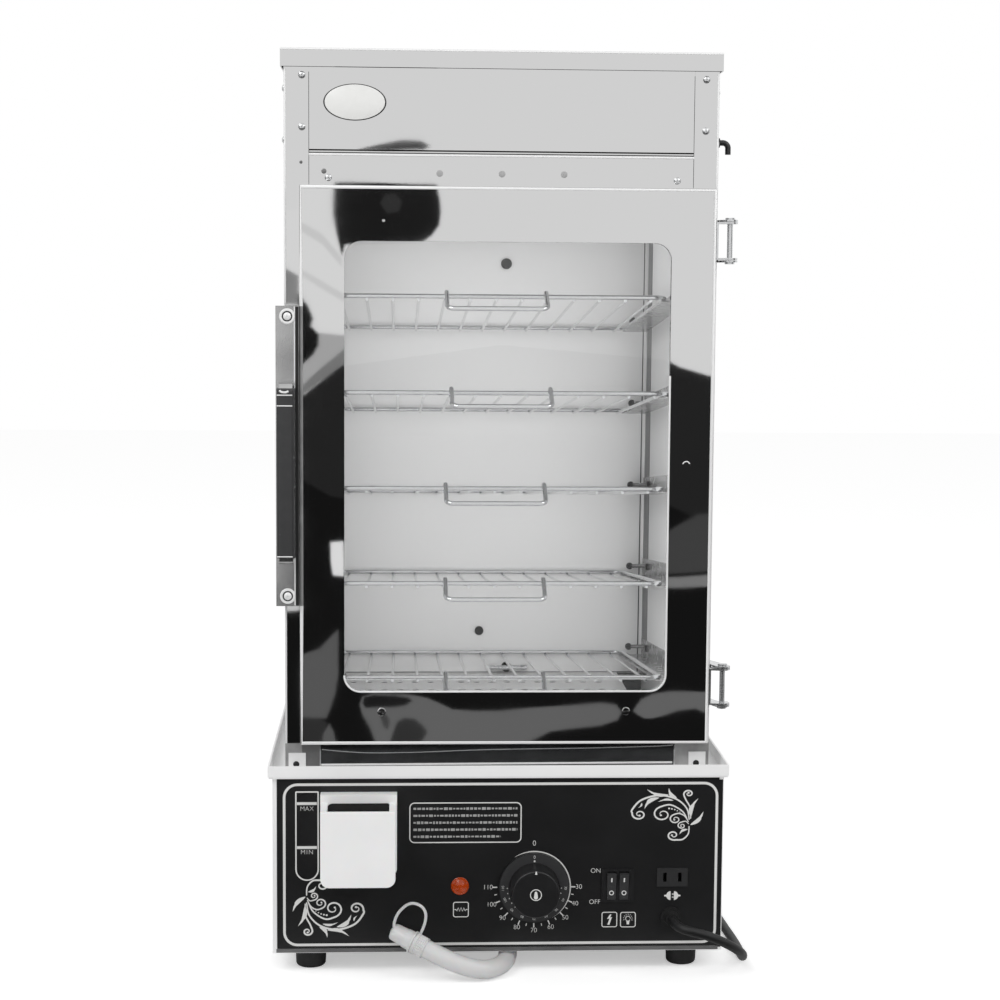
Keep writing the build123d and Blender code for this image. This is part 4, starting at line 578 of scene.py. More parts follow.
steps = dial["arcSteps"]
inkRibbon(shape, arcPoints(dial["x"], dial["z"], dial["arc"], *dial["arcSpan"], steps),
          [0.25 + 0.85 * min(1, i / dial["fade"], (steps - i) / dial["fade"]) for i in range(steps + 1)])
for count in range(dial["ticks"]):
    angle = math.radians(-count * dial["step"] / 2)
    near, far, width = dial["shortTick" if count % 2 else "longTick"]
    inkRibbon(shape, [onDial(near, angle), onDial(far, angle)], width)
inkPiece("panelLines", shape)
for count, value in enumerate(dial["values"]):
    angle = math.radians(-count * dial["step"])
    reach = dial["numbers"] + (1.2 if value >= 100 else 0) - 0.4 * abs(math.sin(angle))
    inkText("scale" + str(value), str(value), *onDial(reach, angle), dial["numberSize"])
# the scale's zero and the words: text, x, z, size, spacing
words = {"scale0": ("0", 30.0, 111.2, 6.4, 1.0), "wordMax": ("MAX", -161.2, 141.8, 5.4, 1.0),
         "wordMin": ("MIN", -161.2, 104.6, 5.4, 1.2), "wordOn": ("ON", 82.2, 87.2, 5.6, 1.0),
         "wordOff": ("OFF", 81.6, 60.2, 5.6, 1.0)}
for name, (text, x, z, size, spacing) in words.items():
    inkText(name, text, x, z, size, spacing=spacing)

# Scrollwork: stems that fan out of one root and wind up, leaves along them, and a row of beads.
# Stems: points from the root, then the curl's centre, radius, first angle, way of turning, and width
scroll = {
    "stems": [([(0, 2), (2, -9), (10, -18), (23, -21.5), (36, -17), (42.6, -8)], (37.2, -3.5), 5.6, -15, 1, 1.7),
              ([(1, 3), (5, -6), (14, -12.4)], (19.8, -3.4), 7.4, -75, 1, 1.5),
              ([(0.5, 4), (3.4, -1.6), (7.6, -4.2)], (10.2, 1.4), 4.8, -80, 1, 1.25),
              ([(0.3, 6), (2.6, 3.4)], (5.4, 7.6), 3.4, -75, 1, 1.1),
              ([(0, 8), (0.6, 15.5), (4.6, 20.6)], (11.6, 16.6), 5.0, 115, -1, 1.5),
              ([(-1, 1), (-0.8, -9), (2.6, -17)], (0.6, -23), 4.0, 30, -1, 1.5)],
    # leaves: base, tip, fullness, sway
    "leaves": [((9.5, -19), (15.5, -28.5), 3.4, 1.6), ((15.5, -22), (32, -27.5), 3.6, 2.2),
               ((12, -16.5), (23.5, -15.2), 2.4, -1.4), ((22.5, -19.4), (33.5, -8.5), 4.2, -2.4),
               ((-0.8, 7), (-10.5, -6), 3.8, -1.6), ((-1.2, -1), (-6.6, -18.5), 3.8, 1.8),
               ((1.0, 11), (7.2, 16.0), 2.6, -1.2), ((35.5, -14.5), (38.2, -9.6), 1.5, 0.8)],
    "beads": [(5.2, -3.6), (7.0, -5.4), (8.9, -6.8), (10.9, -7.9), (13.0, -8.6), (15.1, -9.0)],
    # corners: where the root stands, which way it opens, and its shares of width and height
    "corners": [((-161.6, 59.5), 1, 1.12, 1.0), ((161.0, 132.6), -1, 1.14, 0.9)],
    "curlTurn": 470, "curlSteps": 40, "curlClose": 0.78, "leafSteps": 16, "layer": 0.004}
shape = bmesh.new()
flatProud = ink["proud"]
for origin, way, wide, tall in scroll["corners"]:
    def onPanel(points):
        return [(origin[0] + way * wide * x, origin[1] + way * tall * z) for x, z in points]

    for points, centre, radius, first, turn, width in scroll["stems"]:
        curl = []
        for i in range(scroll["curlSteps"] + 1):
            share = i / scroll["curlSteps"]
            angle = math.radians(first + turn * scroll["curlTurn"] * share)
            reach = radius * (1 - scroll["curlClose"] * share ** 0.8)
            curl.append((centre[0] + reach * math.cos(angle), centre[1] + reach * math.sin(angle)))
        line = smoothLine(points + [curl[0]])[:-1] + curl
        count = len(line) - 1
        inkRibbon(shape, onPanel(line),
                  [tall * width * (0.28 + 0.72 * math.sin(math.pi * min(1, 0.12 + 0.9 * i / count)) ** 0.7)
                   for i in range(count + 1)])
        ink["proud"] += scroll["layer"]  # crossing forms don't share a face
        inkPatch(shape, onPanel(arcPoints(*curl[-1], width * 0.55, 0, 342, 19)))
        ink["proud"] += scroll["layer"]
    for base, tip, fat, sway in scroll["leaves"]:
        along = Vector(tip) - Vector(base)
        beside = Vector((-along.y, along.x)).normalized()
        near, far = [], []
        for i in range(scroll["leafSteps"] + 1):
            s = i / scroll["leafSteps"]
            middle = Vector(base) + along * s + beside * sway * math.sin(math.pi * s)
            notch = 1 - 0.3 * math.exp(-((s - 0.66) / 0.06) ** 2)
            fullness = fat * math.sin(math.pi * s ** 0.8) * (1 - 0.35 * s) * notch
            near.append(tuple(middle + beside * fullness * (0.62 if sway > 0 else 0.38)))
            far.append(tuple(middle - beside * fullness * (0.38 if sway > 0 else 0.62)))
        inkPatch(shape, onPanel(near + far[-2:0:-1]))
        ink["proud"] += scroll["layer"]
    for count, place in enumerate(scroll["beads"]):
        inkPatch(shape, onPanel(arcPoints(*place, 0.34 + 0.09 * count, 0, 330, 11)))
    ink["proud"] = flatProud
inkPiece("panelScrollwork", shape)

# Rows of short bars in the middle frame, each with its own length and height
notes = {"left": -72.0, "right": 15.5, "rows": (141.4, 135.4, 129.4, 123.4, 117.4), "lastRowShort": 14,
         "bar": (1.4, 3.4), "height": 2.3, "heightShare": (0.55, 1.0), "gap": 0.9}
shape = bmesh.new()
random.seed(11)
for row in notes["rows"]:
    x = notes["left"]
    end = notes["right"] - (notes["lastRowShort"] if row == notes["rows"][-1] else 0)
    while x < end:
        length = random.uniform(*notes["bar"])
        inkRibbon(shape, [(x, row), (min(x + length, end), row)],
                  notes["height"] * random.uniform(*notes["heightShare"]))
        x += length + notes["gap"]
meshPiece("notesBars", shape, "greyInk", smooth=0)
print("stage: panel printed")

# The panel's right edge wraps to the side, and the base shell's folded foot shows below it, in a mid grey that is
# painted shade.
# Each: left, right, bottom, top, depth, finish, slot
panelEdges = {"panelWrap": (184.9, 189.4, 20.4, 165.4, -175.05, "blackEnamel", "black_paint"),
              "baseFootFold": (-187.0, 187.0, 18.4, 21.6, -175.3, "footSteel", "satin_steel")}
for name, (left, right, low, high, front, finishName, slotName) in panelEdges.items():
    shape = bmesh.new()
    flatSheet(shape, rectangle(left, right, low, high), front, front + 0.1)
    meshPiece(name, shape, finishName, smooth=0)

# Dial face: a small ring with its pointer, and the skirt's own scale
dialFace = {"front": -199.0, "skirt": -178.54, "ring": 4.6, "skirtRadii": (21.6, 29.4), "dots": 22.9,
            "dotRadius": 0.45, "numbers": 26.4, "numberSize": 3.0, "zero": 26.6, "zeroSize": 4.0,
            "zeroDot": 23.2, "zeroDotRadius": 0.8, "ringWidth": 0.7,
            "mark": [(0.5, 20.0), (-0.4, 20.0), (-0.9, 17.4), (1.0, 17.4)],
            # the drop's two arcs: height over the middle, radius, first and last angle, steps
            "drop": [(1.9, 1.1, 0, 180, 10), (-2.0, 1.7, 160, 380, 16)]}
shape = bmesh.new()
inner, outer = dialFace["skirtRadii"]
lathe(shape, (dial["x"], dialFace["skirt"] + 0.05, dial["z"]),
      [(-0.2, inner), (0.05, inner), (0.05, outer), (-0.2, outer)], 96)
bmesh.ops.delete(shape, geom=[f for f in shape.faces if len(f.verts) > 4], context="FACES_ONLY")
meshPiece("dialSkirt", shape, "satinAbs", "dial", smooth=30)
shape = bmesh.new()
inkRibbon(shape, arcPoints(dial["x"], dial["z"], dialFace["ring"], 0, 351, 40), dialFace["ringWidth"],
          closed=True, face=dialFace["front"])
# a drop shape in the ring, and the pointer at the rim
inkPatch(shape, [point for high, *arc in dialFace["drop"]
                 for point in arcPoints(dial["x"], dial["z"] + high, *arc)], face=dialFace["front"])
inkPatch(shape, [(dial["x"] + x, dial["z"] + z) for x, z in dialFace["mark"]], face=dialFace["front"])
for count in range(dial["ticks"]):
    dot = onDial(dialFace["dots"], math.radians(-count * dial["step"] / 2))
    inkPatch(shape, arcPoints(*dot, dialFace["dotRadius"], 0, 315, 7), face=dialFace["skirt"])
inkPatch(shape, arcPoints(dial["x"], dial["z"] + dialFace["zeroDot"], dialFace["zeroDotRadius"], 0, 340, 17),
         face=dialFace["skirt"])
inkPiece("dialMarks", shape, "dial")
for count, value in enumerate(dial["values"]):
    angle = math.radians(-count * dial["step"])
    inkText("skirt" + str(value), str(value), *onDial(dialFace["numbers"], angle), dialFace["numberSize"],
            face=dialFace["skirt"], body="dial", spin=math.degrees(angle) - 90)
inkText("skirt0", "0", dial["x"], dial["z"] + dialFace["zero"], dialFace["zeroSize"], face=dialFace["skirt"],
        body="dial")

# Indicator lens: a rim and rings of facets
lens = {"x": -32.6, "z": 74.8, "face": -175.0, "facets": 18,
        "rim": [(0, 7.6), (0.7, 7.6), (0.9, 7.3), (0.9, 7.1)],
        "rings": [(0.3, 7.1), (1.2, 7.0), (1.5, 6.2), (1.3, 5.8), (1.9, 5.0), (1.7, 4.5), (2.2, 3.6), (2.0, 3.1),
                  (2.5, 2.1), (2.3, 1.6), (2.6, 0.5)]}
shape = bmesh.new()
lathe(shape, (lens["x"], lens["face"] + 0.2, lens["z"]), lens["rim"], 48)
lathe(shape, (lens["x"], lens["face"], lens["z"]), lens["rings"], lens["facets"])
lensPiece = meshPiece("indicatorLens", shape, "amberPolycarbonate", smooth=8)
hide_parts("indicator_lamp")

# Rocker faces: a bar above, a ring below, set on the tilted faces
rockerFace = {"pin": (-172.6, 74.3), "front": 5.05, "tilt": 8.0, "half": 11.45, "valley": 1.0,
              "bar": (4.4, 8.2), "barWidth": 1.1, "ring": -5.4, "ringRadius": 1.7, "ringWidth": 0.75,
              "marks": {"power_rocker": 95.7, "lamp_rocker": 106.3}}
for body, x in rockerFace["marks"].items():
    shape = bmesh.new()
    inkRibbon(shape, [(x, z) for z in rockerFace["bar"]], rockerFace["barWidth"], face=0)
    inkRibbon(shape, arcPoints(x, rockerFace["ring"], rockerFace["ringRadius"], 0, 345, 24),
              rockerFace["ringWidth"], closed=True, face=0)
    tilt = math.radians(rockerFace["tilt"])
    for vertex in shape.verts:
        u, w = vertex.co.y / mm, vertex.co.z / mm
        # the face is a shallow V whose halves fall back to the middle
        u -= rockerFace["front"] - (1 - abs(w) / rockerFace["half"]) * rockerFace["valley"]
        y = rockerFace["pin"][0] + u * math.cos(tilt) - w * math.sin(tilt)
        z = rockerFace["pin"][1] + u * math.sin(tilt) + w * math.cos(tilt)
        vertex.co = (vertex.co.x, y * mm, z * mm)
    inkPiece(body + "Marks", shape, body)
print("stage: dial, lens and rockers marked")

# Cross-head screws for the cabinet and the handle, in shares of their height and radius
crossHead = {"crown": [(0, 1), (0.25, 1), (0.6, 0.88), (0.85, 0.62), (1, 0.3)], "bar": (-0.55, 0.55, -0.11, 0.11),
             "cut": (0.7, 1.005)}


def crossScrew(shape, place, direction, radius, height, spin):
    side, up, forward = frameAlong(direction)
    lathe(shape, place, [(height * rise, radius * share) for rise, share in crossHead["crown"]], 32, direction)
    # the cross stands as a dark shallow cut: two bars sunk in the crown
    for turn in (0, 90):
        a = math.radians(turn + spin)
        along = side * math.cos(a) + up * math.sin(a)
        beside = forward.cross(along)
        bar = [Vector(place) + (along * u + beside * v) * radius for u, v in rectangle(*crossHead["bar"])]
        skinRings(shape, [[corner + forward * height * rise for corner in bar] for rise in crossHead["cut"]])


screws = {"radius": 3.0, "height": 1.8, "x": 167.5, "shift": 2.0, "side": 180.5, "front": -148.0, "back": 212.0,
          "inset": 10, "lower": 10, "z": (750.4, 708.2), "header": (145.0, 667.0), "headerShift": 1.2}
random.seed(7)
shape = bmesh.new()
for side in (-1, 1):
    for z in screws["z"]:
        for place, way in (((side * screws["x"] + screws["shift"], screws["front"], z), towardViewer),
                           ((side * screws["side"], screws["front"] + screws["inset"], z - screws["lower"]),
                            (side, 0, 0)),
                           ((side * screws["side"], screws["back"] - screws["inset"], z - screws["lower"]),
                            (side, 0, 0)),
                           ((side * screws["x"], screws["back"], z), (0, 1, 0))):
            crossScrew(shape, place, way, screws["radius"], screws["height"], random.uniform(0, 90))
    crossScrew(shape, (side * screws["header"][0] + screws["headerShift"], screws["front"], screws["header"][1]),
               towardViewer, screws["radius"], screws["height"], random.uniform(0, 90))
cabinetScrews = meshPiece("cabinetScrews", shape, "zincSteel")
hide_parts("cabinet_screws")

grip = {"x": -177.1, "web": -166.0, "screws": (320.4, 552.7), "screwRadius": 3.3, "screwHeight": 1.7,
        "screwSpin": 20, "washer": [(0, 6.5), (0.7, 6.5), (1.3, 5.9), (1.3, 4.6), (0.5, 4.2)],
        "washerJoint": [(0, 4.9), (0.62, 4.9), (0.66, 4.5), (0.62, 3.2)],
        "front": -195.5, "span": (-184.2, -171.5), "highlightHeights": (489.1, 480.4, 357.0),
        "shoulder": [(-182.0, 493.0), (-180.2, 491.7), (-177.0, 491.4), (-174.6, 492.4)],
        # the joint is the black line painted for the channel's shaded side; the lips, the heights across the grip
        # and the shoulder carry bright lines painted as highlights
        "joint": (-169.1, 312.6, 560.6), "lips": ((-171.1, 312.6, 444.0), (-171.1, 452.0, 560.6)),
        # radii of the folds
        "jointRadius": 1.3, "lipRadius": 0.5, "highlightRadius": 0.45, "shoulderRadius": 0.8}
shape = bmesh.new()
for z in grip["screws"]:
    lathe(shape, (grip["x"], grip["web"], z), grip["washer"], 40)
    crossScrew(shape, (grip["x"], grip["web"] - 0.6, z), towardViewer, grip["screwRadius"], grip["screwHeight"],
               grip["screwSpin"])
handleScrews = meshPiece("handleScrews", shape, "highlightSteel", "door")
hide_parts("handle_screws")
turnedPiece("washerJoints", [(grip["x"], grip["web"] - 0.1, z) for z in grip["screws"]], grip["washerJoint"], 32,
            "blackRubber", "door")

# Bare oval plate on the fascia, with a dark rim. Layers: finish, slot, share of the size, rear and front
plate = {"x": -121.9, "z": 728.7, "half": (26.0, 15.0), "face": -148.0, "segments": 72, "bevel": 0.25,
         "layers": {"fasciaPlateRim": ("blackAbs", "black_plastic", 1.0, 0, 0.9),
                    "fasciaPlate": ("plateEnamel", "white_plastic", 0.955, 0.5, 1.15)}}
for name, (finishName, slotName, share, rear, front) in plate["layers"].items():
    shape = bmesh.new()
    halfWide, halfTall = (half * share for half in plate["half"])
    turns = [math.tau * k / plate["segments"] for k in range(plate["segments"])]
    skinRings(shape, [[(plate["x"] + halfWide * grow * math.cos(a), plate["face"] - y,
                        plate["z"] + halfTall * grow * math.sin(a)) for a in turns]
                      for y, grow in ((rear, 1.0), (front - plate["bevel"], 1.0), (front, 0.975))])
    meshPiece(name, shape, finishName)

# Weld dimples in the door skin, each a ring pressed in with a small peak, and a half ring of painted highlight
# where it is dented
door = {"face": -159.0, "dimples": ((-99.0, 220.8, 3.6), (107.9, 221.0, 3.4), (-98.0, 631.6, 1.3)),
        "dimple": [(0, 1), (0.22, 0.9), (0.3, 0.75), (0.16, 0.5), (0.1, 0.3), (0.2, 0.12)],
        "dent": (156.0, 430.4, 3.0), "window": (-130.4, 141.2, 238.0, 615.0, 14.0)}
shape = bmesh.new()
for x, z, radius in door["dimples"]:
    lathe(shape, (x, door["face"] + 0.05, z), [(rise, radius * share) for rise, share in door["dimple"]], 36)
meshPiece("doorDimples", shape, "mirrorSteel", "door", smooth=70)

# Folds, drawn near white as painted highlights: around the door, along the foot of the window and up its right
# side, on the posts, header and cap
folds = {"door": (-167.4, 178.2, 192.8, 660.2), "doorRadius": 1.45, "windowRadius": 0.8, "windowHigh": 505.0,
         "dentRadius": 0.45, "beside": (311.0, 561.0), "post": 179.6, "postSpan": (169.5, 755.0),
         "header": [(-159.8, 685.9), (160.0, 685.9)], "cap": [(-183.0, 771.2), (183.0, 771.2)], "capFace": -150.5,
         "headerJoint": [(-159.8, 687.5), (159.8, 687.5)], "fasciaJoint": 159.8, "fasciaSpan": (661.5, 753.0),
         # radii of those on the cabinet
         "postRadius": 0.8, "headerRadius": 1.0, "capRadius": 0.8, "jointRadius": 0.4, "fasciaRadius": 0.22}
cabinetFace = -148.0
left, right, bottom, top = folds["door"]
inset = folds["doorRadius"]
low, high = folds["beside"]
around = [(left + inset, low), (left + inset, bottom + inset), (right - inset, bottom + inset),
          (right - inset, top - inset), (left + inset, top - inset), (left + inset, high)]
left, right, bottom, top, corner = door["window"]
beyond = roundedBox(left, right, bottom, top, [corner] * 4)[18:] + [(right, folds["windowHigh"])]
x, z, radius = door["dent"]
hemPiece("doorFolds", [(around, door["face"], inset), (beyond, door["face"], folds["windowRadius"]),
                       (arcPoints(x, z, radius, 20, 165, 14), door["face"], folds["dentRadius"])],
         "highlightSteel", "door")
# beside the handle the fold's painted highlight is dimmer
hemPiece("doorFoldBeside", [([around[0], around[-1]], door["face"], inset)], "stainedSteel",
         "door")
hemPiece("cabinetFolds", [([(side * folds["post"], z) for z in folds["postSpan"]], cabinetFace, folds["postRadius"])
                          for side in (-1, 1)] +
         [(folds["header"], cabinetFace, folds["headerRadius"]),
          (folds["cap"], folds["capFace"], folds["capRadius"])],
         "highlightSteel")
hemPiece("headerJoint", [(folds["headerJoint"], cabinetFace, folds["jointRadius"])] +
         [([(side * folds["fasciaJoint"], z) for z in folds["fasciaSpan"]], cabinetFace, folds["fasciaRadius"])
          for side in (-1, 1)], "blackRubber")

# Handle: a black line painted for the shaded side of its channel, bright lines painted as highlights on the
# channel's lips and across the grip, and a pale arc painted as the highlight on its moulded shoulder
x, low, high = grip["joint"]
hemPiece("channelShadeLine", [([(x, low), (x, high)], grip["web"], grip["jointRadius"])], "blackRubber",
         "door")
hemPiece("channelLipHighlights", [([(x, low), (x, high)], grip["web"], grip["lipRadius"]) for x, low, high in grip["lips"]],
         "highlightSteel", "door")
hemPiece("gripHighlights", [([(x, z) for x in grip["span"]], grip["front"], grip["highlightRadius"]) for z in grip["highlightHeights"]] +
         [(smoothLine(grip["shoulder"], 5), grip["front"], grip["shoulderRadius"])], "highlightSteel",
         "door", smooth=60)

# Feet of the posts in front, in pale and darker sheets of painted light and shade; a black disc painted as the
# shade in each clip's hole; and thin bright lines painted as highlights along the sill, up the plates' inner edges
# and at the sill's foot
feet = {"footPlatesF": ("footSteel", [(-166.4, -150.6)]),
        "footPlatesS": ("stainedSteel", [(-180.4, -166.4), (150.6, 180.4)]),
        "low": 169.4, "high": 191.9, "face": -148.95, "thick": 0.2, "clipFace": -149.95,
        "holes": ((-171.2, 174.2), (169.6, 174.0)), "hole": [(0, 2.6), (0.35, 2.6), (0.4, 2.4), (0.4, 0.4)],
        "sillGleam": [(-149.6, 186.5), (-125.9, 184.3), (-103.8, 183.4), (-66.4, 183.9), (-32.4, 185.2), (1.7, 186.1),
                   (87.2, 187.2), (138.7, 188.6), (150.0, 189.6)],
        "edge": 151.0, "edgeSpan": (169.6, 191.5), "sill": [(-150.2, 173.2), (149.4, 174.2)],
        "sillGleamRadius": 0.42, "edgeRadius": 0.4, "sillRadius": 0.9}
for name in ("footPlatesF", "footPlatesS"):
    finishName, spans = feet[name]
    shape = bmesh.new()
    for left, right in spans:
        flatSheet(shape, rectangle(left, right, feet["low"], feet["high"]), feet["face"],
                  feet["face"] + feet["thick"])
    meshPiece(name, shape, finishName, smooth=0)
turnedPiece("clipHoleShade", [(x, feet["clipFace"], z) for x, z in feet["holes"]], feet["hole"], 28,
            "blackRubber")
hemPiece("sillGleamLines", [(smoothLine(feet["sillGleam"], 4), cabinetFace, feet["sillGleamRadius"])] +
         [([(side * feet["edge"], z) for z in feet["edgeSpan"]], feet["face"], feet["edgeRadius"])
          for side in (-1, 1)],
         "wireChrome")
hemPiece("sillFoot", [(feet["sill"], cabinetFace, feet["sillRadius"])], "highlightSteel")

# Throat of the hopper: a black sheet painted as the shade inside the opening in its back block
throat = {"box": (-144.2, -91.6, 120.0, 149.2), "radii": (2.5, 5.0, 1.0, 1.0), "front": -187.3, "rear": -186.9}
shape = bmesh.new()
flatSheet(shape, roundedBox(*throat["box"], throat["radii"]), throat["front"], throat["rear"])
meshPiece("hopperThroat", shape, "blackRubber", smooth=0)

# Rivets under the fascia, and plugs that close the header's three holes, a hair below its face
header = {"rivets": ((-147.4, 672.2, 2.2), (-166.3, 679.4, 1.4)), "rivet": [(0, 1), (0.4, 0.9), (0.6, 0.5)],
          "rivetFace": -147.9, "plugs": (-51.7, 0.0, 51.7), "plugHigh": 671.2, "plugFace": -147.6,
          "plug": [(0, 2.8), (0.5, 2.8), (0.62, 2.5), (0.6, 0.4)]}
shape = bmesh.new()
for x, z, radius in header["rivets"]:
    lathe(shape, (x, header["rivetFace"], z), [(rise, radius * share) for rise, share in header["rivet"]], 24)
meshPiece("fasciaRivets", shape, "footSteel")
turnedPiece("headerPlugs", [(x, header["plugFace"], header["plugHigh"]) for x in header["plugs"]], header["plug"],
            28, "dullZinc", smooth=60)

# Dark strips painted as the shade in the folds where the liner's sides meet its back, and on the joint
# beside each: both edges' x and y, at the foot and at the top
liner = {"low": 190.0, "high": 651.5, "strips": (((162.65, 157.0, 162.65, 200.8), (162.65, 152.0, 162.65, 181.0)),
                                                 ((158.2, 200.6, 159.4, 200.6), (160.4, 200.6, 161.3, 200.6))),
         "thick": (0.35, 0.4), "foot": [(-163.0, 189.6), (158.0, 189.6)], "footFace": 201.0, "footRadius": 0.6}
shape = bmesh.new()
for side in (-1, 1):
    for strip in liner["strips"]:
        rings = []
        for (x, y, x2, y2), z in zip(strip, (liner["low"], liner["high"])):
            thickX, thickY = (liner["thick"][0], 0) if x == x2 else (0, liner["thick"][1])
            rings.append([(side * px, py, z) for px, py in
                          ((x, y), (x2, y2), (x2 + thickX, y2 + thickY), (x + thickX, y + thickY))])
        skinRings(shape, rings)
meshPiece("linerCorners", shape, "cornerSteel", smooth=0)
# a dark line painted along the foot of the back wall, for the shaded gap behind the steam plate
hemPiece("linerFootGapShade", [(liner["foot"], liner["footFace"], liner["footRadius"])], "cornerSteel")
print("stage: fasteners and plate set")

# Floor, lamps and the studio that the polished sheet reflects
studio = {"floor": "#f2f2f2", "floorSize": 14.0, "skyFill": 0.62, "floorGlow": 0.42, "cardDistance": -1000.0,
          "cardLowest": 3, "darkFloor": (-1300, 1300, -1600, -236), "darkFloorHigh": 1.5,
          "darkWall": (-1300, -450, 0, 1500), "wallAway": 1500, "frameShade": (-158, 158, 618, 650),
          "frameShadeFace": -147}


def stageCard(name, corners, colour, strength=1.0):
    # a card that only mirrors see
    data = bpy.data.meshes.new(name)
    data.from_pydata([Vector(c) * mm for c in corners], [], [tuple(range(len(corners)))])
    card = bpy.data.objects.new(name, data)
    bpy.context.scene.collection.objects.link(card)
    material = bpy.data.materials.new(name)
    material.use_nodes = True
    tree = material.node_tree
    light = addNode(tree, "ShaderNodeEmission", {"Color": hexToLinear(colour), "Strength": strength})
    tree.links.new(light.outputs[0], tree.nodes["Material Output"].inputs["Surface"])
    data.materials.append(material)
    for kind in ("camera", "diffuse", "shadow", "transmission", "volume_scatter"):
        setattr(card, "visible_" + kind, False)


floorData = bpy.data.meshes.new("floor")
half = studio["floorSize"] / 2
floorData.from_pydata([(x, y, 0) for x, y in rectangle(-half, half, -half, half)], [], [(0, 1, 2, 3)])
floor = bpy.data.objects.new("floor", floorData)
bpy.context.scene.collection.objects.link(floor)
floorPaper = bpy.data.materials.new("floorPaper")
floorPaper.use_nodes = True
tree = floorPaper.node_tree
paper = tree.nodes["Principled BSDF"]
paper.inputs["Base Color"].default_value = hexToLinear(studio["floor"])
paper.inputs["Roughness"].default_value = 0.9
paper.inputs["Specular IOR Level"].default_value = 0.0
floorData.materials.append(floorPaper)
# the paper runs to white for the camera and keeps the shadows
path = addNode(tree, "ShaderNodeLightPath")
glow = addNode(tree, "ShaderNodeMath", {1: studio["floorGlow"]}, {0: path.outputs["Is Camera Ray"]},
               operation="MULTIPLY")
paper.inputs["Emission Color"].default_value = (1, 1, 1, 1)
tree.links.new(glow.outputs[0], paper.inputs["Emission Strength"])

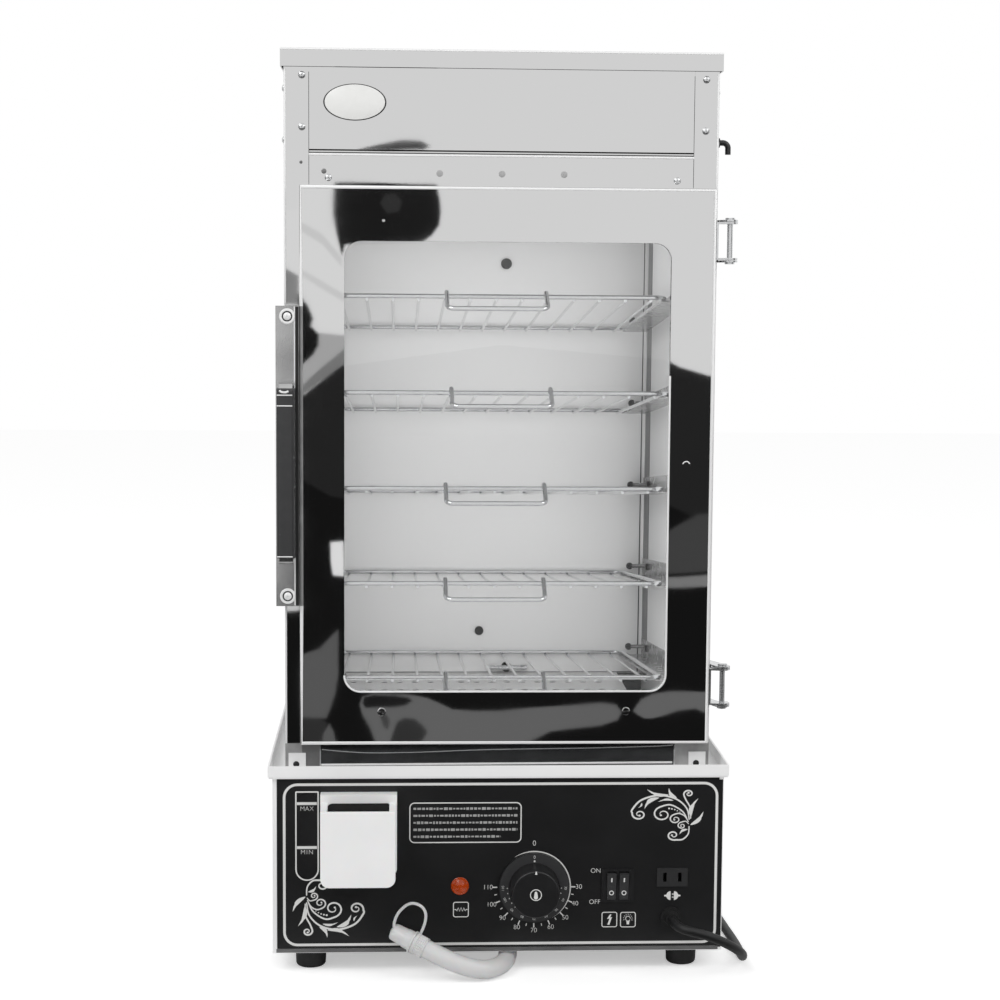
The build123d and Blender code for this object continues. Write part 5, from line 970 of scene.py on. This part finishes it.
# Dark and grey cards before the door: colour, and where the card shows in the door, in x and z
cards = {
    "brightHead": ("#ffffff", [(-187, 641), (-168.4, 641), (-168.4, 661), (-138.8, 661), (-138.8, 654.5),
                               (-131.5, 615.4), (-128, 539), (-152.1, 541.4), (-160.3, 557.8), (-168.4, 566),
                               (-168.4, 584), (-187, 594)]),
    "greyPost": ("#9c9c9c", [(-187, 594), (-168.4, 584), (-168.4, 562), (-187, 562)]),
    "streakHigh": ("#f0f0f0", [(-166, 631), (-166, 623), (-148, 611), (-132, 592), (-132, 600),
                               (-148, 620)]),
    "streakLow": ("#f0f0f0", [(-166, 589), (-166, 584), (-130, 564), (-130, 571)]),
    "darkRoom": ("#2c2c2c", [(-168.5, 488), (-165, 488), (-131, 512), (-1, 530), (134, 519), (148, 512),
                             (172, 505), (330, 490), (330, 192), (-330, 192), (-330, 306), (-168.5, 306)]),
    "darkLow": ("#1a1a1a", [(-168.5, 420), (-140, 404), (-60, 396), (140, 398), (172, 384), (330, 380),
                            (330, 192), (-330, 192), (-330, 306), (-168.5, 306)]),
    "darkKnot": ("#202020", [(-183.0, 522), (-171.8, 530), (-171.8, 517), (-177.0, 504), (-182.6, 506)]),
    "streakFoot": ("#3a3a3a", [(-184, 350), (-180, 347), (-172, 332), (-173, 326), (-178, 330),
                               (-184, 344)]),
    "darkHead": ("#232323", [(-138, 662), (-56, 662), (-53, 649), (-52, 639), (-53, 628), (-59, 619),
                             (-67, 613), (-129, 611), (-131.5, 601), (-135.5, 620), (-138, 638)]),
    "headSmear": ("#6a6a6a", [(-120, 689), (-66, 689), (-60, 692), (-68, 696), (-84, 697), (-100, 694)]),
    "headSmearDark": ("#3a3a3a", [(-104, 689), (-68, 689), (-66, 691.5), (-76, 693.5), (-92, 692.5)]),
    "headGleam": ("#3c3c3c", [(-101, 645), (-97, 652), (-88, 653), (-83, 647), (-86, 639), (-95, 637)]),
    "darkStep": ("#161616", [(-168, 571), (-160, 562), (-156, 551), (-158, 545), (-152, 539), (-152, 529),
                               (-156, 521), (-168, 509)]),
    "greyStep": ("#c4c4c4", [(-168, 508), (-156, 521), (-152, 529), (-152, 540), (-128, 537), (-128, 527),
                               (-168, 494)]),
    "greyStepLow": ("#8e8e8e", [(-168, 494), (-128, 527), (-128, 514), (-168, 487)]),
    "paleSheet": ("#ffffff", [(-140, 366), (-128, 367), (-128, 340), (-138, 341), (-140, 352)]),
    "greyFoot": ("#6a6a6a", [(-165.3, 274), (-150.2, 278.7), (-133.9, 294.6), (-133.9, 257.4),
                             (-137.2, 240.1), (-141.1, 226.8), (-143.7, 220.3), (-165.4, 221.2)]),
    "footShade": ("#3a3a3a", [(-165.4, 221.2), (-149, 220.4), (-142.4, 216.7), (-146.1, 209.4), (-149, 195),
                              (-165.4, 195)]),
    "greyFootLow": ("#6a6a6a", [(-141.1, 216.7), (-137.2, 210.7), (-133.5, 195), (-148.7, 195),
                                (-145.7, 209.4)]),
    "greyRug": ("#767676", [(-114.9, 238.5), (-117.2, 231.5), (-114.8, 222.8), (-108.3, 212.1),
                            (-101.4, 195), (9.5, 195), (43.2, 209.2), (83.5, 213.1), (97.5, 218),
                            (101.5, 224.9), (95.9, 231.2), (83.2, 233.2), (43, 231.3), (21.9, 229.6),
                            (0.9, 227.1), (-21.3, 227.1), (-41.1, 228.5), (-53, 234.4), (-62.3, 238.4),
                            (-79.4, 241.4), (-105.7, 241.5)]),
    "rugShadow": ("#242424", [(-113.5, 238.1), (-105.7, 240.1), (-87.3, 240.1), (-77.4, 238.5),
                              (-74.1, 235.8), (-79.3, 231.8), (-87.2, 230.2), (-100.4, 229.2), (-112, 228.6),
                              (-114.9, 232.8)]),
    "rugShade": ("#3c3c3c", [(-93.8, 195), (-89.8, 209.3), (-86.6, 217.4), (-80.6, 221.1), (-72.7, 220.5),
                             (-66.1, 214.6), (-62.1, 209.2), (-70, 195), (-76, 195)]),
    "rugFold": ("#4c4c4c", [(-100.4, 222.7), (-95.1, 224.1), (-92.5, 218.7), (-93.8, 212), (-97.5, 214.7)]),
    "greyRugEnd": ("#787878", [(110, 226.9), (113.1, 232.3), (116.4, 236.5), (126, 240.8), (140, 243.1),
                               (181.1, 243), (181.5, 219.2), (172.6, 224.3), (161.5, 228.2), (147.4, 226.5),
                               (134.7, 221.9), (126.2, 220.1), (119.2, 220.3), (113.8, 223.7)]),
    "greyChair": ("#4e4e4e", [(136, 377), (150, 386), (162, 393), (182, 395), (182, 346), (136, 343)]),
    "greyBar": ("#8f8f8f", [(136, 340), (182, 343), (182, 333), (136, 331)]),
}
cardStrength = {"brightHead": 1.03, "paleSheet": 1.1}  # the others glow at 1
eye = shot["place"]
spread = (door["face"] - studio["cardDistance"]) / (door["face"] - eye[1])
for layer, (name, (colour, outline)) in enumerate(cards.items()):
    stageCard(name, [(x + spread * (x - eye[0]), studio["cardDistance"] + 2 * layer,
                      max(studio["cardLowest"], z + spread * (z - eye[2]))) for x, z in outline],
              colour, cardStrength.get(name, 1.0))
stageCard("darkFloor", [(x, y, studio["darkFloorHigh"]) for x, y in rectangle(*studio["darkFloor"])], "#1c1c1c")
# dark walls that give round bright metal its dark lines, and the shaded inside of the door frame
for side in (-1, 1):
    stageCard("darkWall", [(side * studio["wallAway"], y, z) for y, z in rectangle(*studio["darkWall"])], "#262626")
stageCard("frameShade", [(x, studio["frameShadeFace"], z) for x, z in rectangle(*studio["frameShade"])], "#303030")

# Lamps: place, target and size in metres, power in watts. The last two are inside the cabinet, one under its
# ceiling and one on the door's back, and aren't seen themselves
lamps = {"keyLamp": ((-1.6, -2.0, 2.4), (0, 0, 0.4), (1.6, 1.2), 26),
         "fillLamp": ((1.9, -1.6, 1.9), (0, 0, 0.4), (1.2, 1.2), 14),
         "ceilingLamp": ((0, 0.02, 0.645), (0, 0.02, 0), (0.28, 0.28), 0.35),
         "doorLamp": ((0, -0.144, 0.36), (0, 0.2, 0.35), (0.3, 0.34), 1.08)}
for name, (place, target, size, power) in lamps.items():
    data = bpy.data.lights.new(name, "AREA")
    data.shape = "RECTANGLE"
    data.size, data.size_y = size
    data.energy = power
    lamp = bpy.data.objects.new(name, data)
    lamp.location = place
    lamp.rotation_euler = (Vector(target) - Vector(place)).to_track_quat("-Z", "Y").to_euler()
    bpy.context.scene.collection.objects.link(lamp)
    if name in ("ceilingLamp", "doorLamp"):
        lamp.visible_camera = False
        lamp.visible_glossy = False
        lamp.visible_transmission = False

world = bpy.data.worlds.new("studio")
bpy.context.scene.world = world
world.use_nodes = True
tree = world.node_tree
back = tree.nodes["Background"]
path = addNode(tree, "ShaderNodeLightPath")
seen = addNode(tree, "ShaderNodeMath", None, {0: path.outputs["Is Camera Ray"], 1: path.outputs["Is Glossy Ray"]},
               operation="MAXIMUM")
seen = addNode(tree, "ShaderNodeMath", None, {0: seen.outputs[0], 1: path.outputs["Is Transmission Ray"]},
               operation="MAXIMUM")
strength = addNode(tree, "ShaderNodeMapRange", {"To Min": studio["skyFill"], "To Max": 1.0},
                   {"Value": seen.outputs[0]})
back.inputs["Color"].default_value = (1, 1, 1, 1)
tree.links.new(strength.outputs["Result"], back.inputs["Strength"])
bpy.context.scene.view_settings.view_transform = "Standard"
print("stage: studio lit")
